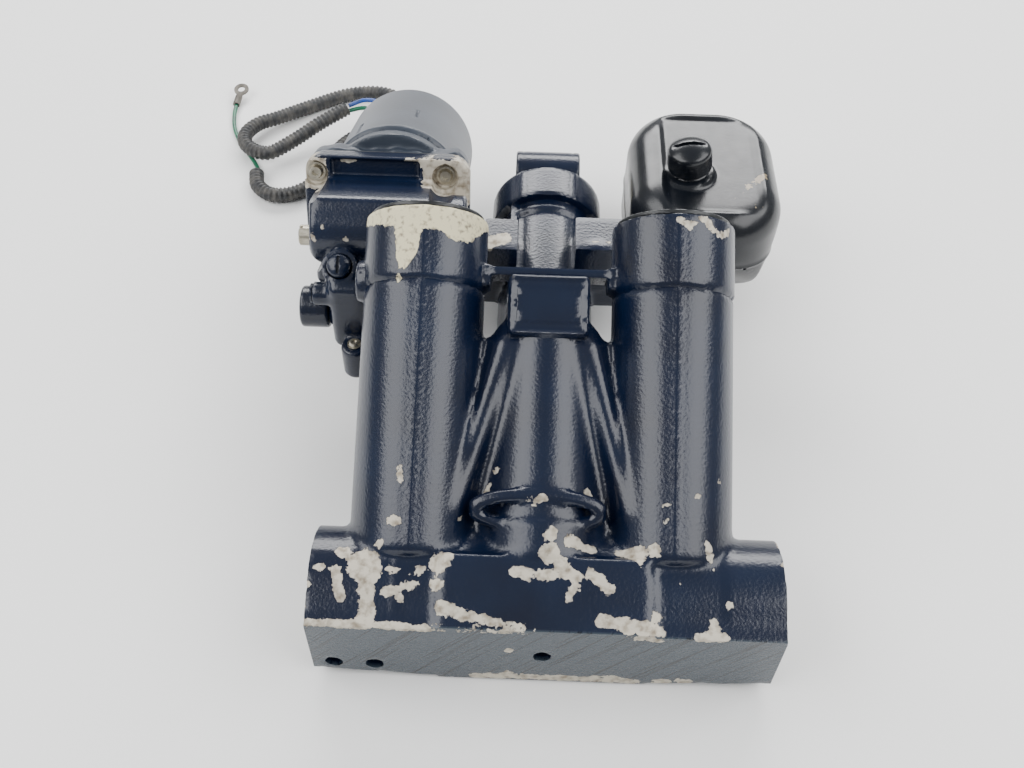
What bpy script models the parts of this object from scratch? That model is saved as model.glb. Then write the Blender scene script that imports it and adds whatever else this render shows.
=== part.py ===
"""Hydraulic trim and tilt unit for an outboard motor, lying on its back.

One aluminium casting holds three bores: two trim rams that rise at an angle and one
tilt ram that lies flat between them. A gear pump with its electric motor is bolted to
the left side and an oil reservoir to the right. Metres, +Z up, +Y away from the base.
"""
import math

import bmesh
import bpy
from mathutils import Vector

MM = 0.001

# Whole unit: X is zero on the tilt ram, Y starts at the flat face of the base tube
OVERALL_LENGTH = 328.0 * MM

# Base tube and its flat machined face
BASE_LEFT = -93.5 * MM
BASE_RIGHT = 98.5 * MM
BASE_RADIUS = 26.5 * MM
BASE_BORE = 12.0 * MM
BUSH_RADIUS = 14.5 * MM
BUSH_LENGTH = 24.0 * MM
FACE_HOLES = {"mid": (2.0 * MM, 23.5 * MM), "outer": (-84.5 * MM, 12.0 * MM), "inner": (-67.5 * MM, 11.5 * MM)}
FACE_HOLE_RADIUS = 3.7 * MM

# Trim rams
TRIM_ANGLE = math.radians(31.0)
TRIM_SPACING = 109.0 * MM
TRIM_RADIUS = 27.0 * MM
TRIM_BORE = 21.0 * MM
TRIM_FLOOR = 41.0 * MM
TRIM_RIM = 161.0 * MM
TRIM_ROD = 10.0 * MM

# Tilt ram
TILT_RADIUS = 24.0 * MM
TILT_HEAD_RADIUS = 30.0 * MM
TILT_HEAD_START = 220.5 * MM
TILT_HEAD_END = 242.5 * MM
TILT_BORE = 16.5 * MM
TILT_FLOOR = 45.0 * MM
TILT_ROD = 9.0 * MM
EYE_CENTRE = 267.5 * MM
EYE_RADIUS = 15.0 * MM
EYE_WIDTH = 36.0 * MM
EYE_BORE = 9.0 * MM
TILT_SLOPE = math.asin((TILT_HEAD_RADIUS - BASE_RADIUS) / TILT_HEAD_START)

# Motor, whose axis leans away and down from its flange
MOTOR_X = -79.5 * MM
MOTOR_FLANGE = Vector((MOTOR_X, 222.0 * MM, 70.0 * MM))
MOTOR_LEAN = math.radians(22.0)
CAN_RADIUS = 35.5 * MM
CAN_LENGTH = 100.0 * MM
SCREW_LEFT = -36.0 * MM
SCREW_RIGHT = 28.0 * MM
SCREW_HEIGHT = 18.0 * MM

# Gear pump, seen along the motor axis
GEAR_TEETH = 9
GEAR_SPACING = 13.5 * MM
GEAR_TIP = 7.75 * MM
GEAR_ROOT = 5.2 * MM

# Valve cartridges in the pump manifold, all along X
RELEASE_VALVE_YZ = (191.5 * MM, 75.0 * MM)
SPOOL_YZ = (165.0 * MM, 62.0 * MM)
CHECK_CAP_YZ = (173.5 * MM, 44.0 * MM)

# Reservoir and its filler
RESERVOIR_LOW = Vector((43.0, 212.0, 6.0)) * MM
RESERVOIR_HIGH = Vector((122.0, 312.0, 74.0)) * MM
FOOT_SCREW_YZ = (204.0 * MM, 46.0 * MM)
FILLER_BASE = Vector((73.0, 252.0, 74.0)) * MM
FILLER_LEAN = math.radians(8.0)

GAP = 0.3 * MM
LOOM_RADIUS = 4.6 * MM
WIRE_RADIUS = 1.3 * MM

# Routes in millimetres from the middle of the flat face, read as one smooth curve each
LOOM_ROUTE = [
    (-128.0, 374.5, 15.5), (-143.0, 362.0, 13.0), (-158.0, 347.5, 10.0),
    (-172.0, 337.0, 8.2), (-185.0, 342.0, 8.0), (-189.5, 353.5, 8.0),
    (-184.0, 366.0, 7.5), (-172.0, 376.0, 6.0), (-154.0, 390.0, 5.0),
    (-132.0, 404.0, 4.8), (-112.0, 407.5, 4.8), (-97.0, 400.0, 4.8),
    (-93.0, 386.0, 4.8), (-101.0, 373.0, 4.8), (-117.0, 364.0, 4.8),
    (-128.0, 351.0, 4.8), (-133.0, 334.0, 4.8), (-138.0, 317.0, 4.8),
    (-150.0, 305.0, 4.8), (-164.0, 302.0, 4.8), (-174.0, 310.0, 4.8),
    (-177.0, 322.0, 4.8),
]
BLUE_ROUTE = [
    (-95.6, 322.6, 34.6), (-95.0, 336.0, 29.5), (-95.0, 351.0, 25.0), (-98.0, 366.0, 21.5),
    (-106.0, 378.0, 18.5), (-117.0, 382.0, 17.0), (-126.4, 376.6, 16.4),
]
GREEN_ROUTE = [
    (-99.4, 321.3, 31.3), (-99.5, 335.0, 26.0), (-99.5, 350.0, 21.0), (-102.0, 363.0, 17.0),
    (-108.5, 373.0, 14.5), (-117.0, 378.3, 13.8), (-126.2, 374.9, 13.9),
]
GROUND_ROUTE = [
    (-177.3, 323.5, 3.6), (-178.0, 329.0, 1.6), (-181.5, 336.0, 1.6),
    (-188.0, 346.0, 1.6), (-195.5, 358.0, 1.6), (-200.5, 370.0, 1.6),
    (-203.0, 382.0, 1.8), (-203.6, 392.0, 2.4),
]

ASSEMBLY_SHIFT = Vector((0.0, -OVERALL_LENGTH / 2, 0.0))


def clear_scene():
    for obj in list(bpy.data.objects):
        bpy.data.objects.remove(obj, do_unlink=True)


def finish(name, colour, metallic, roughness):
    """A Principled material with one plain colour."""
    material = bpy.data.materials.new(name)
    material.use_nodes = True
    shader = material.node_tree.nodes["Principled BSDF"]
    shader.inputs["Base Color"].default_value = (*colour, 1.0)
    shader.inputs["Metallic"].default_value = metallic
    shader.inputs["Roughness"].default_value = roughness
    return material


def empty(name, parent, location, turn=(0.0, 0.0, 0.0)):
    obj = bpy.data.objects.new(name, None)
    bpy.context.scene.collection.objects.link(obj)
    obj.parent = parent
    obj.location = location
    obj.rotation_euler = turn
    return obj


def solid(name, bm, material, parent, location=(0.0, 0.0, 0.0), turn=(0.0, 0.0, 0.0)):
    """Put a bmesh into the scene as one named object."""
    mesh = bpy.data.meshes.new(name)
    bmesh.ops.recalc_face_normals(bm, faces=bm.faces)
    bm.to_mesh(mesh)
    bm.free()
    mesh.shade_smooth()
    mesh.set_sharp_from_angle(angle=math.radians(32.0))
    obj = bpy.data.objects.new(name, mesh)
    bpy.context.scene.collection.objects.link(obj)
    if material is not None:
        obj.data.materials.append(material)
    obj.parent = parent
    obj.location = location
    obj.rotation_euler = turn
    return obj


def guide(name, bm, parent, location=(0.0, 0.0, 0.0), turn=(0.0, 0.0, 0.0)):
    """A hidden shape that adds to or cuts from another object."""
    obj = solid(name, bm, None, parent, location, turn)
    obj.hide_render = True
    obj.display_type = 'WIRE'
    return obj


def combine(target, tool, operation):
    modifier = target.modifiers.new(tool.name, 'BOOLEAN')
    modifier.operation = operation
    modifier.solver = 'EXACT'
    modifier.object = tool


def cut(target, tool):
    combine(target, tool, 'DIFFERENCE')


def join(target, tool):
    combine(target, tool, 'UNION')


def turned(profile, segments=24):
    """Turn (radius, height) points about Z; a profile off the axis makes a ring."""
    bm = bmesh.new()
    on_axis = profile[0][0] == 0
    outline = profile[1:-1] if on_axis else profile
    rings = []
    for radius, height in outline:
        loop = []
        for step in range(segments):
            angle = 2 * math.pi * (step + 0.5) / segments
            loop.append(bm.verts.new((radius * math.cos(angle), radius * math.sin(angle), height)))
        rings.append(loop)
    pairs = list(zip(rings, rings[1:]))
    if on_axis:
        bm.faces.new(rings[0])
        bm.faces.new(rings[-1])
    else:
        pairs.append((rings[-1], rings[0]))
    for low, high in pairs:
        for step in range(segments):
            after = (step + 1) % segments
            bm.faces.new((low[step], low[after], high[after], high[step]))
    return bm


def rod(radius, start, end, segments=24, chamfer=0.0):
    """A plain or chamfered cylinder along Z."""
    if chamfer == 0:
        return turned([(0, start), (radius, start), (radius, end), (0, end)], segments)
    return turned([(0, start), (radius - chamfer, start), (radius, start + chamfer),
                   (radius, end - chamfer), (radius - chamfer, end), (0, end)], segments)


def ring(inner, outer, start, end, segments=24):
    return turned([(inner, start), (outer, start), (outer, end), (inner, end)], segments)


def block(low, high, round_edges=0.0, segments=2):
    """A box between two corners, with its edges rounded."""
    bm = bmesh.new()
    bmesh.ops.create_cube(bm, size=1.0)
    for vert in bm.verts:
        for axis in range(3):
            vert.co[axis] = high[axis] if vert.co[axis] > 0 else low[axis]
    if round_edges > 0:
        bmesh.ops.bevel(bm, geom=bm.edges[:], offset=round_edges, segments=segments,
                        profile=0.5, affect='EDGES')
    return bm


def prism(outline, start, end):
    """Extrude a closed (x, y) outline along Z."""
    bm = bmesh.new()
    base = bm.faces.new([bm.verts.new((x, y, start)) for x, y in outline])
    swept = bmesh.ops.extrude_face_region(bm, geom=[base])
    for item in swept["geom"]:
        if isinstance(item, bmesh.types.BMVert):
            item.co.z = end
    return bm


def rounded_outline(low_x, high_x, low_y, high_y, radius, steps=4):
    """A rectangle with rounded corners, as (x, y) points."""
    corners = [(high_x - radius, high_y - radius, 0), (low_x + radius, high_y - radius, 90),
               (low_x + radius, low_y + radius, 180), (high_x - radius, low_y + radius, 270)]
    points = []
    for x, y, first in corners:
        for step in range(steps + 1):
            angle = math.radians(first + 90 * step / steps)
            points.append((x + radius * math.cos(angle), y + radius * math.sin(angle)))
    return points


# Turns that lay a piece made along Z along another axis
ALONG_X = (0.0, math.pi / 2, 0.0)
# Turn that maps a profile's (x, y) plane onto the world's (y, z) plane, extruded along X
PROFILE_YZ = (math.pi / 2, 0.0, math.pi / 2)


def main_casting(paint, assembly, trims, tilt):
    """Base tube, three barrels and the webs between them, cast in one."""
    base_axis = (0.0, BASE_RADIUS, BASE_RADIUS)
    casting = solid("main_casting", rod(BASE_RADIUS, BASE_LEFT, BASE_RIGHT, 32, 1.0 * MM),
                    paint, assembly, base_axis, ALONG_X)
    nose = [(0, 2.5 * MM), (14 * MM, 1.4 * MM), (BASE_RADIUS, 8 * MM), (BASE_RADIUS, 44 * MM),
            (15 * MM, 49.5 * MM), (3 * MM, 45 * MM), (0, 42.5 * MM)]
    inset = 0.7 * MM
    join(casting, guide("base_nose", prism(nose, BASE_LEFT + inset, BASE_RIGHT - inset), assembly,
                        turn=PROFILE_YZ))
    for side, frame in trims.items():
        barrel = [(0, 6 * MM), (TRIM_RADIUS - 0.6 * MM, 6 * MM), (TRIM_RADIUS - 0.6 * MM, 128 * MM),
                  (TRIM_RADIUS - 1.6 * MM, 128.6 * MM), (TRIM_RADIUS - 1.6 * MM, 130 * MM),
                  (TRIM_RADIUS, 130.6 * MM), (TRIM_RADIUS, TRIM_RIM - 1 * MM),
                  (TRIM_RADIUS - 1 * MM, TRIM_RIM), (0, TRIM_RIM)]
        join(casting, guide("trim_barrel_" + side, turned(barrel, 32), frame))
    barrel = [(0, 4 * MM), (TILT_RADIUS, 4 * MM), (TILT_RADIUS, TILT_HEAD_START - 1 * MM),
              (TILT_HEAD_RADIUS - 1 * MM, TILT_HEAD_START), (TILT_HEAD_RADIUS, TILT_HEAD_START + 1 * MM),
              (TILT_HEAD_RADIUS, TILT_HEAD_END - 1 * MM), (TILT_HEAD_RADIUS - 1 * MM, TILT_HEAD_END),
              (0, TILT_HEAD_END)]
    join(casting, guide("tilt_barrel", turned(barrel, 32), tilt))
    casting_webs(casting, assembly)
    casting_arms(casting, assembly)
    # Bores last, so that no web grows back into them
    margin = 5 * MM
    cut(casting, guide("base_bore", rod(BASE_BORE, BASE_LEFT - margin, BASE_RIGHT + margin, 24),
                       assembly, base_axis, ALONG_X))
    for name, start, end in (("left", BASE_LEFT - margin, BASE_LEFT + BUSH_LENGTH + GAP),
                             ("right", BASE_RIGHT - BUSH_LENGTH - GAP, BASE_RIGHT + margin)):
        cut(casting, guide("bush_pocket_" + name, rod(BUSH_RADIUS + GAP, start, end, 24),
                           assembly, base_axis, ALONG_X))
    for side, frame in trims.items():
        cut(casting, guide("trim_bore_" + side, rod(TRIM_BORE, TRIM_FLOOR, TRIM_RIM + 9 * MM, 24), frame))
    cut(casting, guide("tilt_bore", rod(TILT_BORE, TILT_FLOOR, TILT_HEAD_END + 9 * MM, 24), tilt))
    for name, (x, z) in FACE_HOLES.items():
        hole = rod(FACE_HOLE_RADIUS, -5 * MM, 8 * MM, 12)
        cut(casting, guide("face_hole_" + name, hole, assembly, (x, 0.0, z), (-math.pi / 2, 0.0, 0.0)))


def casting_webs(casting, assembly):
    """Cone, name plate, crossbar, ribs and web between the trim barrels."""
    mid = empty("trim_plane", assembly, (0.0, BASE_RADIUS, BASE_RADIUS), (TRIM_ANGLE - math.pi / 2, 0.0, 0.0))
    web = block((-TRIM_SPACING / 2, -8 * MM, 10 * MM), (TRIM_SPACING / 2, 8 * MM, 108 * MM))
    join(casting, guide("web", web, mid))
    cone = turned([(0, 15 * MM), (27.3 * MM, 15 * MM), (17.6 * MM, 131 * MM), (0, 131 * MM)], 32)
    join(casting, guide("cone", cone, mid))
    plate = block((-17.2 * MM, -20.5 * MM, 107 * MM), (17.2 * MM, -3.1 * MM, 134 * MM), 2.5 * MM, 2)
    join(casting, guide("plate", plate, mid))
    bar = rod(4 * MM, -41 * MM, 41 * MM, 16)
    join(casting, guide("crossbar", bar, mid, (0.0, -2.3 * MM, 139.3 * MM), ALONG_X))
    for name, sign in (("left", -1), ("right", 1)):
        rib = prism([(sign * 16 * MM, 116 * MM), (sign * 12 * MM, 116 * MM),
                     (sign * 33 * MM, 34 * MM), (sign * 41 * MM, 34 * MM)], 0.0, 17 * MM)
        join(casting, guide("rib_" + name, rib, mid, turn=(math.pi / 2, 0.0, 0.0)))
    spine = block((-7 * MM, 75 * MM, 40 * MM), (7 * MM, 128 * MM, 75 * MM))
    join(casting, guide("spine", spine, assembly))
    gallery = block((-19.5 * MM, 120 * MM, 34 * MM), (-15.5 * MM, 258 * MM, 51.5 * MM))
    join(casting, guide("oil_gallery", gallery, assembly))


def casting_arms(casting, assembly):
    """Mounting pads for the pump manifold on the left and the reservoir on the right."""
    left = block((-32 * MM, 196 * MM, 28 * MM), (-15 * MM, 219 * MM, 66 * MM), 1 * MM, 1)
    join(casting, guide("manifold_pad", left, assembly))
    right = block((14 * MM, 198 * MM, 26 * MM), (42.5 * MM, 222 * MM, 66 * MM), 1 * MM, 1)
    join(casting, guide("reservoir_ear", right, assembly))
    cut(casting, guide("ear_hole", rod(2.3 * MM, 33 * MM, 46 * MM, 16), assembly,
                       (0.0, *FOOT_SCREW_YZ), ALONG_X))
    boss = rod(9 * MM, -4 * MM, 14 * MM, 20, 1 * MM)
    join(casting, guide("port_boss", boss, assembly, (-80 * MM, 139.5 * MM, 96.5 * MM), ALONG_X))
    hole = rod(2.5 * MM, -8 * MM, 3 * MM, 12)
    cut(casting, guide("port_hole", hole, assembly, (-80 * MM, 139.5 * MM, 96.5 * MM), ALONG_X))


def base_bushes(nylon, assembly):
    length = BUSH_LENGTH
    for name, start in (("left", BASE_LEFT), ("right", BASE_RIGHT - length)):
        bush = ring(BASE_BORE - 0.4 * MM, BUSH_RADIUS, start, start + length, 24)
        solid("base_bush_" + name, bush, nylon, assembly, (0.0, BASE_RADIUS, BASE_RADIUS), ALONG_X)


def ram_gland(name, material, frame, rim, bore, rod_radius, flange, wiper_radius):
    """Threaded end gland with a pocket for the wiper seal."""
    inner = rod_radius + GAP
    profile = [(inner, rim - 20 * MM), (bore - GAP, rim - 20 * MM), (bore - GAP, rim + GAP),
               (flange, rim + GAP), (flange, rim + 2.6 * MM), (wiper_radius + GAP, rim + 2.6 * MM),
               (wiper_radius + GAP, rim - 2 * MM), (inner, rim - 2 * MM)]
    solid(name, turned(profile, 20), material, frame)


def ram_wiper(name, material, frame, rim, rod_radius, wiper_radius):
    inner = rod_radius + GAP
    profile = [(inner, rim - 1.7 * MM), (wiper_radius, rim - 1.7 * MM), (wiper_radius, rim + 2.6 * MM),
               (inner + 1 * MM, rim + 3.6 * MM), (inner, rim + 3.6 * MM)]
    solid(name, turned(profile, 16), material, frame)


def ram_piston(name, material, frame, start, bore, hole, length=14 * MM):
    """Piston with one seal groove round it."""
    outer = bore - 0.4 * MM
    groove = outer - 2 * MM
    profile = [(hole, start), (outer, start), (outer, start + 5 * MM), (groove, start + 5 * MM),
               (groove, start + 8.5 * MM), (outer, start + 8.5 * MM), (outer, start + length),
               (hole, start + length)]
    solid(name, turned(profile, 20), material, frame)


def trim_rams(looks, trims):
    for side, frame in trims.items():
        ram_gland("trim_gland_" + side, looks["gland"], frame, TRIM_RIM, TRIM_BORE, TRIM_ROD,
                  25 * MM, 13.5 * MM)
        ram_wiper("trim_wiper_" + side, looks["rubber"], frame, TRIM_RIM, TRIM_ROD, 13.5 * MM)
        ram_piston("trim_piston_" + side, looks["steel"], frame, TRIM_FLOOR + 1.5 * MM, TRIM_BORE, 7.3 * MM)
        tail = TRIM_FLOOR + 16 * MM
        profile = [(0, TRIM_FLOOR + 2 * MM), (7 * MM, TRIM_FLOOR + 2 * MM), (7 * MM, tail), (TRIM_ROD, tail),
                   (TRIM_ROD, TRIM_RIM + 4 * MM), (TRIM_ROD - 1.5 * MM, TRIM_RIM + 5.5 * MM),
                   (0, TRIM_RIM + 5.5 * MM)]
        solid("trim_rod_" + side, turned(profile, 20), looks["chrome"], frame)


def tilt_ram(looks, tilt):
    ram_gland("tilt_gland", looks["gland"], tilt, TILT_HEAD_END, TILT_BORE, TILT_ROD, 22 * MM, 12.5 * MM)
    ram_wiper("tilt_wiper", looks["rubber"], tilt, TILT_HEAD_END, TILT_ROD, 12.5 * MM)
    ram_piston("tilt_piston", looks["steel"], tilt, 65 * MM, TILT_BORE, 6.8 * MM)
    nut = prism([(8 * MM * math.cos(math.radians(60 * i)), 8 * MM * math.sin(math.radians(60 * i)))
                 for i in range(6)], 58.5 * MM, 64.6 * MM)
    nut_obj = solid("piston_nut", nut, looks["zinc"], tilt)
    cut(nut_obj, guide("nut_hole", rod(6.8 * MM, 55 * MM, 70 * MM, 12), tilt))
    shoulder = 79.4 * MM
    profile = [(0, 57 * MM), (6.5 * MM, 57 * MM), (6.5 * MM, shoulder), (TILT_ROD, shoulder),
               (TILT_ROD, EYE_CENTRE - EYE_RADIUS + 3 * MM), (0, EYE_CENTRE - EYE_RADIUS + 3 * MM)]
    ram = solid("tilt_rod", turned(profile, 20), looks["chrome"], tilt)
    half = EYE_WIDTH / 2
    eye_at = (0.0, 0.0, EYE_CENTRE)
    join(ram, guide("eye_body", rod(EYE_RADIUS, -half, half, 28, 1 * MM), tilt, eye_at, ALONG_X))
    cut(ram, guide("eye_bore", rod(EYE_BORE + 2 * MM, -half - 4 * MM, half + 4 * MM, 28),
                   tilt, eye_at, ALONG_X))
    bush = ring(EYE_BORE, EYE_BORE + 2 * MM - GAP, -half, half, 28)
    solid("eye_bush", bush, looks["nylon"], tilt, eye_at, ALONG_X)
    cup = [(0, 46.5 * MM), (TILT_BORE - 0.4 * MM, 46.5 * MM), (TILT_BORE - 0.4 * MM, 57.5 * MM),
           (11 * MM, 57.5 * MM), (11 * MM, 52 * MM), (0, 52 * MM)]
    solid("free_piston", turned(cup, 20), looks["steel"], tilt)


def pump_manifold(looks, assembly, motor):
    """Painted block that carries the gear pump, the valves and the motor."""
    deck = prism(rounded_outline(-41.5 * MM, 40 * MM, -27 * MM, 30 * MM, 9 * MM), -10 * MM, 0.0)
    manifold = solid("pump_manifold", deck, looks["paint"], motor)
    body = block((-33 * MM, -22 * MM, -38 * MM), (26 * MM, 30 * MM, -4 * MM), 3 * MM, 2)
    join(manifold, guide("manifold_body", body, motor))
    valve_block = rod(17 * MM, -113.5 * MM, -40 * MM, 24, 2 * MM)
    join(manifold, guide("valve_block", valve_block, assembly, (0.0, 195 * MM, 78 * MM), ALONG_X))
    bridge = block((-70 * MM, 184 * MM, 36 * MM), (-32.4 * MM, 206 * MM, 66 * MM), 1 * MM, 1)
    join(manifold, guide("bridge", bridge, assembly))
    lower = block((-104 * MM, 158 * MM, 30 * MM), (-86 * MM, 212 * MM, 72 * MM), 4 * MM, 2)
    join(manifold, guide("valve_web", lower, assembly))
    y, z = SPOOL_YZ
    join(manifold, guide("spool_barrel", rod(5.4 * MM, -111.5 * MM, -86.2 * MM, 20), assembly,
                         (0.0, y, z), ALONG_X))
    y, z = CHECK_CAP_YZ
    join(manifold, guide("check_boss", rod(8.5 * MM, -106 * MM, -88 * MM, 24), assembly,
                         (0.0, y, z), ALONG_X))
    lobe = rod(6.5 * MM, 22 * MM, 40 * MM, 20, 1.5 * MM)
    join(manifold, guide("screw_lobe", lobe, assembly, (-92.5 * MM, 152.5 * MM, 0.0)))
    # Hollows: gear pocket, shaft way, cartridge bores and screw holes
    cut(manifold, guide("gear_pocket", block((-13 * MM, -13 * MM, -34 * MM), (13 * MM, 26.5 * MM, 1 * MM)), motor))
    for index, (x, height) in enumerate(screw_places()):
        cut(manifold, guide(f"deck_hole_{index}", rod(2.8 * MM, -14 * MM, 2 * MM, 10), motor, (x, -height, 0.0)))
        recess = rod(6.3 * MM, -30 * MM, -5.5 * MM, 14)
        cut(manifold, guide(f"deck_recess_{index}", recess, motor, (x, -height, 0.0)))
    y, z = RELEASE_VALVE_YZ
    cut(manifold, guide("release_bore", rod(5.3 * MM, -120 * MM, -100 * MM, 24), assembly,
                        (0.0, y, z), ALONG_X))
    y, z = SPOOL_YZ
    cut(manifold, guide("spool_bore", rod(3.4 * MM, -118 * MM, -90 * MM, 20), assembly,
                        (0.0, y, z), ALONG_X))
    y, z = CHECK_CAP_YZ
    cut(manifold, guide("check_bore", rod(6 * MM, -118 * MM, -97 * MM, 24), assembly,
                        (0.0, y, z), ALONG_X))
    cut(manifold, guide("relief_bore", rod(6.2 * MM, 0.0, 20 * MM, 24), assembly,
                        (-98.5 * MM, 177 * MM, 64 * MM), (math.radians(32), 0.0, 0.0)))
    cut(manifold, guide("lobe_hole", rod(2 * MM, 34 * MM, 44 * MM, 12), assembly, (-92.5 * MM, 152.5 * MM, 0.0)))


def screw_places():
    """Motor screws as (x, height above the motor axis)."""
    return [(x, height) for x in (SCREW_LEFT, SCREW_RIGHT) for height in (SCREW_HEIGHT, -SCREW_HEIGHT)]


def pump_valves(looks, assembly):
    """Cartridges and plugs in the manifold."""
    y, z = RELEASE_VALVE_YZ
    valve = turned([(0, -120.5 * MM), (4.6 * MM, -120.5 * MM), (5 * MM, -120 * MM), (5 * MM, -106 * MM),
                    (3 * MM, -102 * MM), (0, -102 * MM)], 24)
    release = solid("release_valve", valve, looks["zinc"], assembly, (0.0, y, z), ALONG_X)
    slot = block((-122 * MM, y - 0.8 * MM, z - 8 * MM), (-118.6 * MM, y + 0.8 * MM, z + 8 * MM))
    cut(release, guide("release_slot", slot, assembly))
    clip = ring(5.35 * MM, 7.6 * MM, -114.9 * MM, -113.8 * MM, 24)
    solid("valve_circlip", clip, looks["zinc"], assembly, (0.0, y, z), ALONG_X)
    y, z = SPOOL_YZ
    spool = turned([(0, -104 * MM), (3.1 * MM, -104 * MM), (3.1 * MM, -101 * MM), (1.8 * MM, -100.5 * MM),
                    (1.8 * MM, -96.5 * MM), (3.1 * MM, -96 * MM), (3.1 * MM, -93 * MM), (0, -93 * MM)], 20)
    solid("shuttle_spool", spool, looks["steel"], assembly, (0.0, y, z), ALONG_X)
    plug = turned([(0, -112.8 * MM), (4.8 * MM, -112.8 * MM), (4.8 * MM, -111.8 * MM), (3.1 * MM, -111.8 * MM),
                   (3.1 * MM, -106.5 * MM), (0, -106.5 * MM)], 20)
    solid("spool_plug", plug, looks["paint"], assembly, (0.0, y, z), ALONG_X)
    y, z = CHECK_CAP_YZ
    cap = turned([(0, -120.5 * MM), (8.5 * MM, -120.5 * MM), (10.2 * MM, -118.5 * MM), (10.2 * MM, -106.3 * MM),
                  (5.7 * MM, -106.3 * MM), (5.7 * MM, -98 * MM), (0, -98 * MM)], 24)
    solid("check_valve_cap", cap, looks["paint"], assembly, (0.0, y, z), ALONG_X)
    relief = turned([(0, 4 * MM), (5.8 * MM, 4 * MM), (5.8 * MM, 17.5 * MM), (4.6 * MM, 18.7 * MM),
                     (0, 18.7 * MM)], 24)
    solid("relief_plug", relief, looks["paint"], assembly, (-98.5 * MM, 177 * MM, 64 * MM),
          (math.radians(32), 0.0, 0.0))
    screw = turned([(0, 35 * MM), (1.7 * MM, 35 * MM), (1.7 * MM, 40.3 * MM), (3.4 * MM, 40.3 * MM),
                    (2.8 * MM, 42.4 * MM), (0, 42.4 * MM)], 16)
    solid("lobe_screw", screw, looks["zinc"], assembly, (-92.5 * MM, 152.5 * MM, 0.0))


def gear(start, end):
    """A spur gear whose teeth have straight flanks and running clearance."""
    outline = []
    pitch = 2 * math.pi / GEAR_TEETH
    for tooth in range(GEAR_TEETH):
        middle = tooth * pitch
        for part, radius in ((-0.30, GEAR_ROOT), (-0.095, GEAR_TIP), (0.095, GEAR_TIP), (0.30, GEAR_ROOT)):
            angle = middle + part * pitch
            outline.append((radius * math.cos(angle), radius * math.sin(angle)))
    return prism(outline, start, end)


def gear_pump(looks, motor):
    """Gear plate, cover and two meshed gears, in front of the motor shaft."""
    pump = empty("pump_axis", motor, (0.0, 0.0, 0.0), (0.0, 0.0, math.pi / 2))
    driven = empty("driven_axis", pump, (GEAR_SPACING, 0.0, 0.0))
    half = 12.6 * MM
    far = GEAR_SPACING + half
    plate = solid("pump_body", block((-half, -half, -33.6 * MM), (far, half, -18.2 * MM)), looks["bare"], pump)
    for name, frame in (("drive", pump), ("driven", driven)):
        cut(plate, guide("chamber_" + name, rod(GEAR_TIP + GAP, -28 * MM, -15 * MM, 28), frame))
    cover = solid("pump_cover", block((-half, -half, -17.9 * MM), (far, half, -12.4 * MM)), looks["bare"], pump)
    cut(cover, guide("cover_hole", rod(3.4 * MM, -20 * MM, -10 * MM, 20), pump))
    drive = solid("drive_gear", gear(-27.6 * MM, -18.5 * MM), looks["steel"], pump)
    cut(drive, guide("drive_hole", rod(3.3 * MM, -30 * MM, -15 * MM, 20), pump))
    solid("driven_gear", gear(-27.6 * MM, -18.5 * MM), looks["steel"], driven)


def electric_motor(looks, motor):
    gasket_line = rounded_outline(-41 * MM, 39.5 * MM, -26.5 * MM, 26.5 * MM, 9 * MM)
    gasket = solid("motor_gasket", prism(gasket_line, 0.3 * MM, 1.5 * MM), looks["rubber"], motor)
    bell_line = rounded_outline(-41.5 * MM, 39 * MM, -27 * MM, 27 * MM, 9 * MM)
    bell = solid("motor_end_bell", prism(bell_line, 1.8 * MM, 14 * MM), looks["paint"], motor)
    cut(gasket, guide("gasket_hole", rod(12 * MM, -2 * MM, 4 * MM, 24), motor))
    cut(bell, guide("bell_shaft_hole", rod(4.6 * MM, 0.0, 16 * MM, 20), motor))
    cut(bell, guide("bell_bearing_pocket", rod(9.4 * MM, 4.7 * MM, 16 * MM, 24), motor))
    for index, (x, height) in enumerate(screw_places()):
        cut(gasket, guide(f"gasket_hole_{index}", rod(3 * MM, -2 * MM, 4 * MM, 10), motor, (x, -height, 0.0)))
        cut(bell, guide(f"bell_hole_{index}", rod(2.8 * MM, 0.0, 11 * MM, 10), motor, (x, -height, 0.0)))
        screw = turned([(0, -9.2 * MM), (4.6 * MM, -9.2 * MM), (4.9 * MM, -8.8 * MM), (4.9 * MM, -5.8 * MM),
                        (2.5 * MM, -5.8 * MM), (2.5 * MM, 10 * MM), (0, 10 * MM)], 12)
        solid(f"motor_screw_{index + 1}", screw, looks["zinc"], motor, (x, -height, 0.0))
    end = CAN_LENGTH
    can = [(0, end), (CAN_RADIUS - 3 * MM, end), (CAN_RADIUS, end - 3 * MM), (CAN_RADIUS, 14.3 * MM),
           (CAN_RADIUS - 2 * MM, 14.3 * MM), (CAN_RADIUS - 2 * MM, end - 3 * MM), (11.5 * MM, end - 3 * MM),
           (11.5 * MM, end - 10 * MM), (9.4 * MM, end - 10 * MM), (9.4 * MM, end - 3 * MM), (0, end - 3 * MM)]
    can_obj = solid("motor_can", turned(can, 32), looks["paint"], motor)
    wire_x, wire_y = (-18 * MM, -3 * MM)
    cut(can_obj, guide("wire_hole", rod(5.3 * MM, end - 12 * MM, end + 3 * MM, 20), motor, (wire_x, wire_y, 0.0)))
    grommet = turned([(0, end - 2.6 * MM), (5 * MM, end - 2.6 * MM), (5 * MM, end + 0.3 * MM),
                      (7 * MM, end + 0.3 * MM), (5.6 * MM, end + 6 * MM), (0, end + 6 * MM)], 20)
    solid("wire_grommet", grommet, looks["rubber"], motor, (wire_x, wire_y, 0.0))
    motor_insides(looks, motor)


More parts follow.
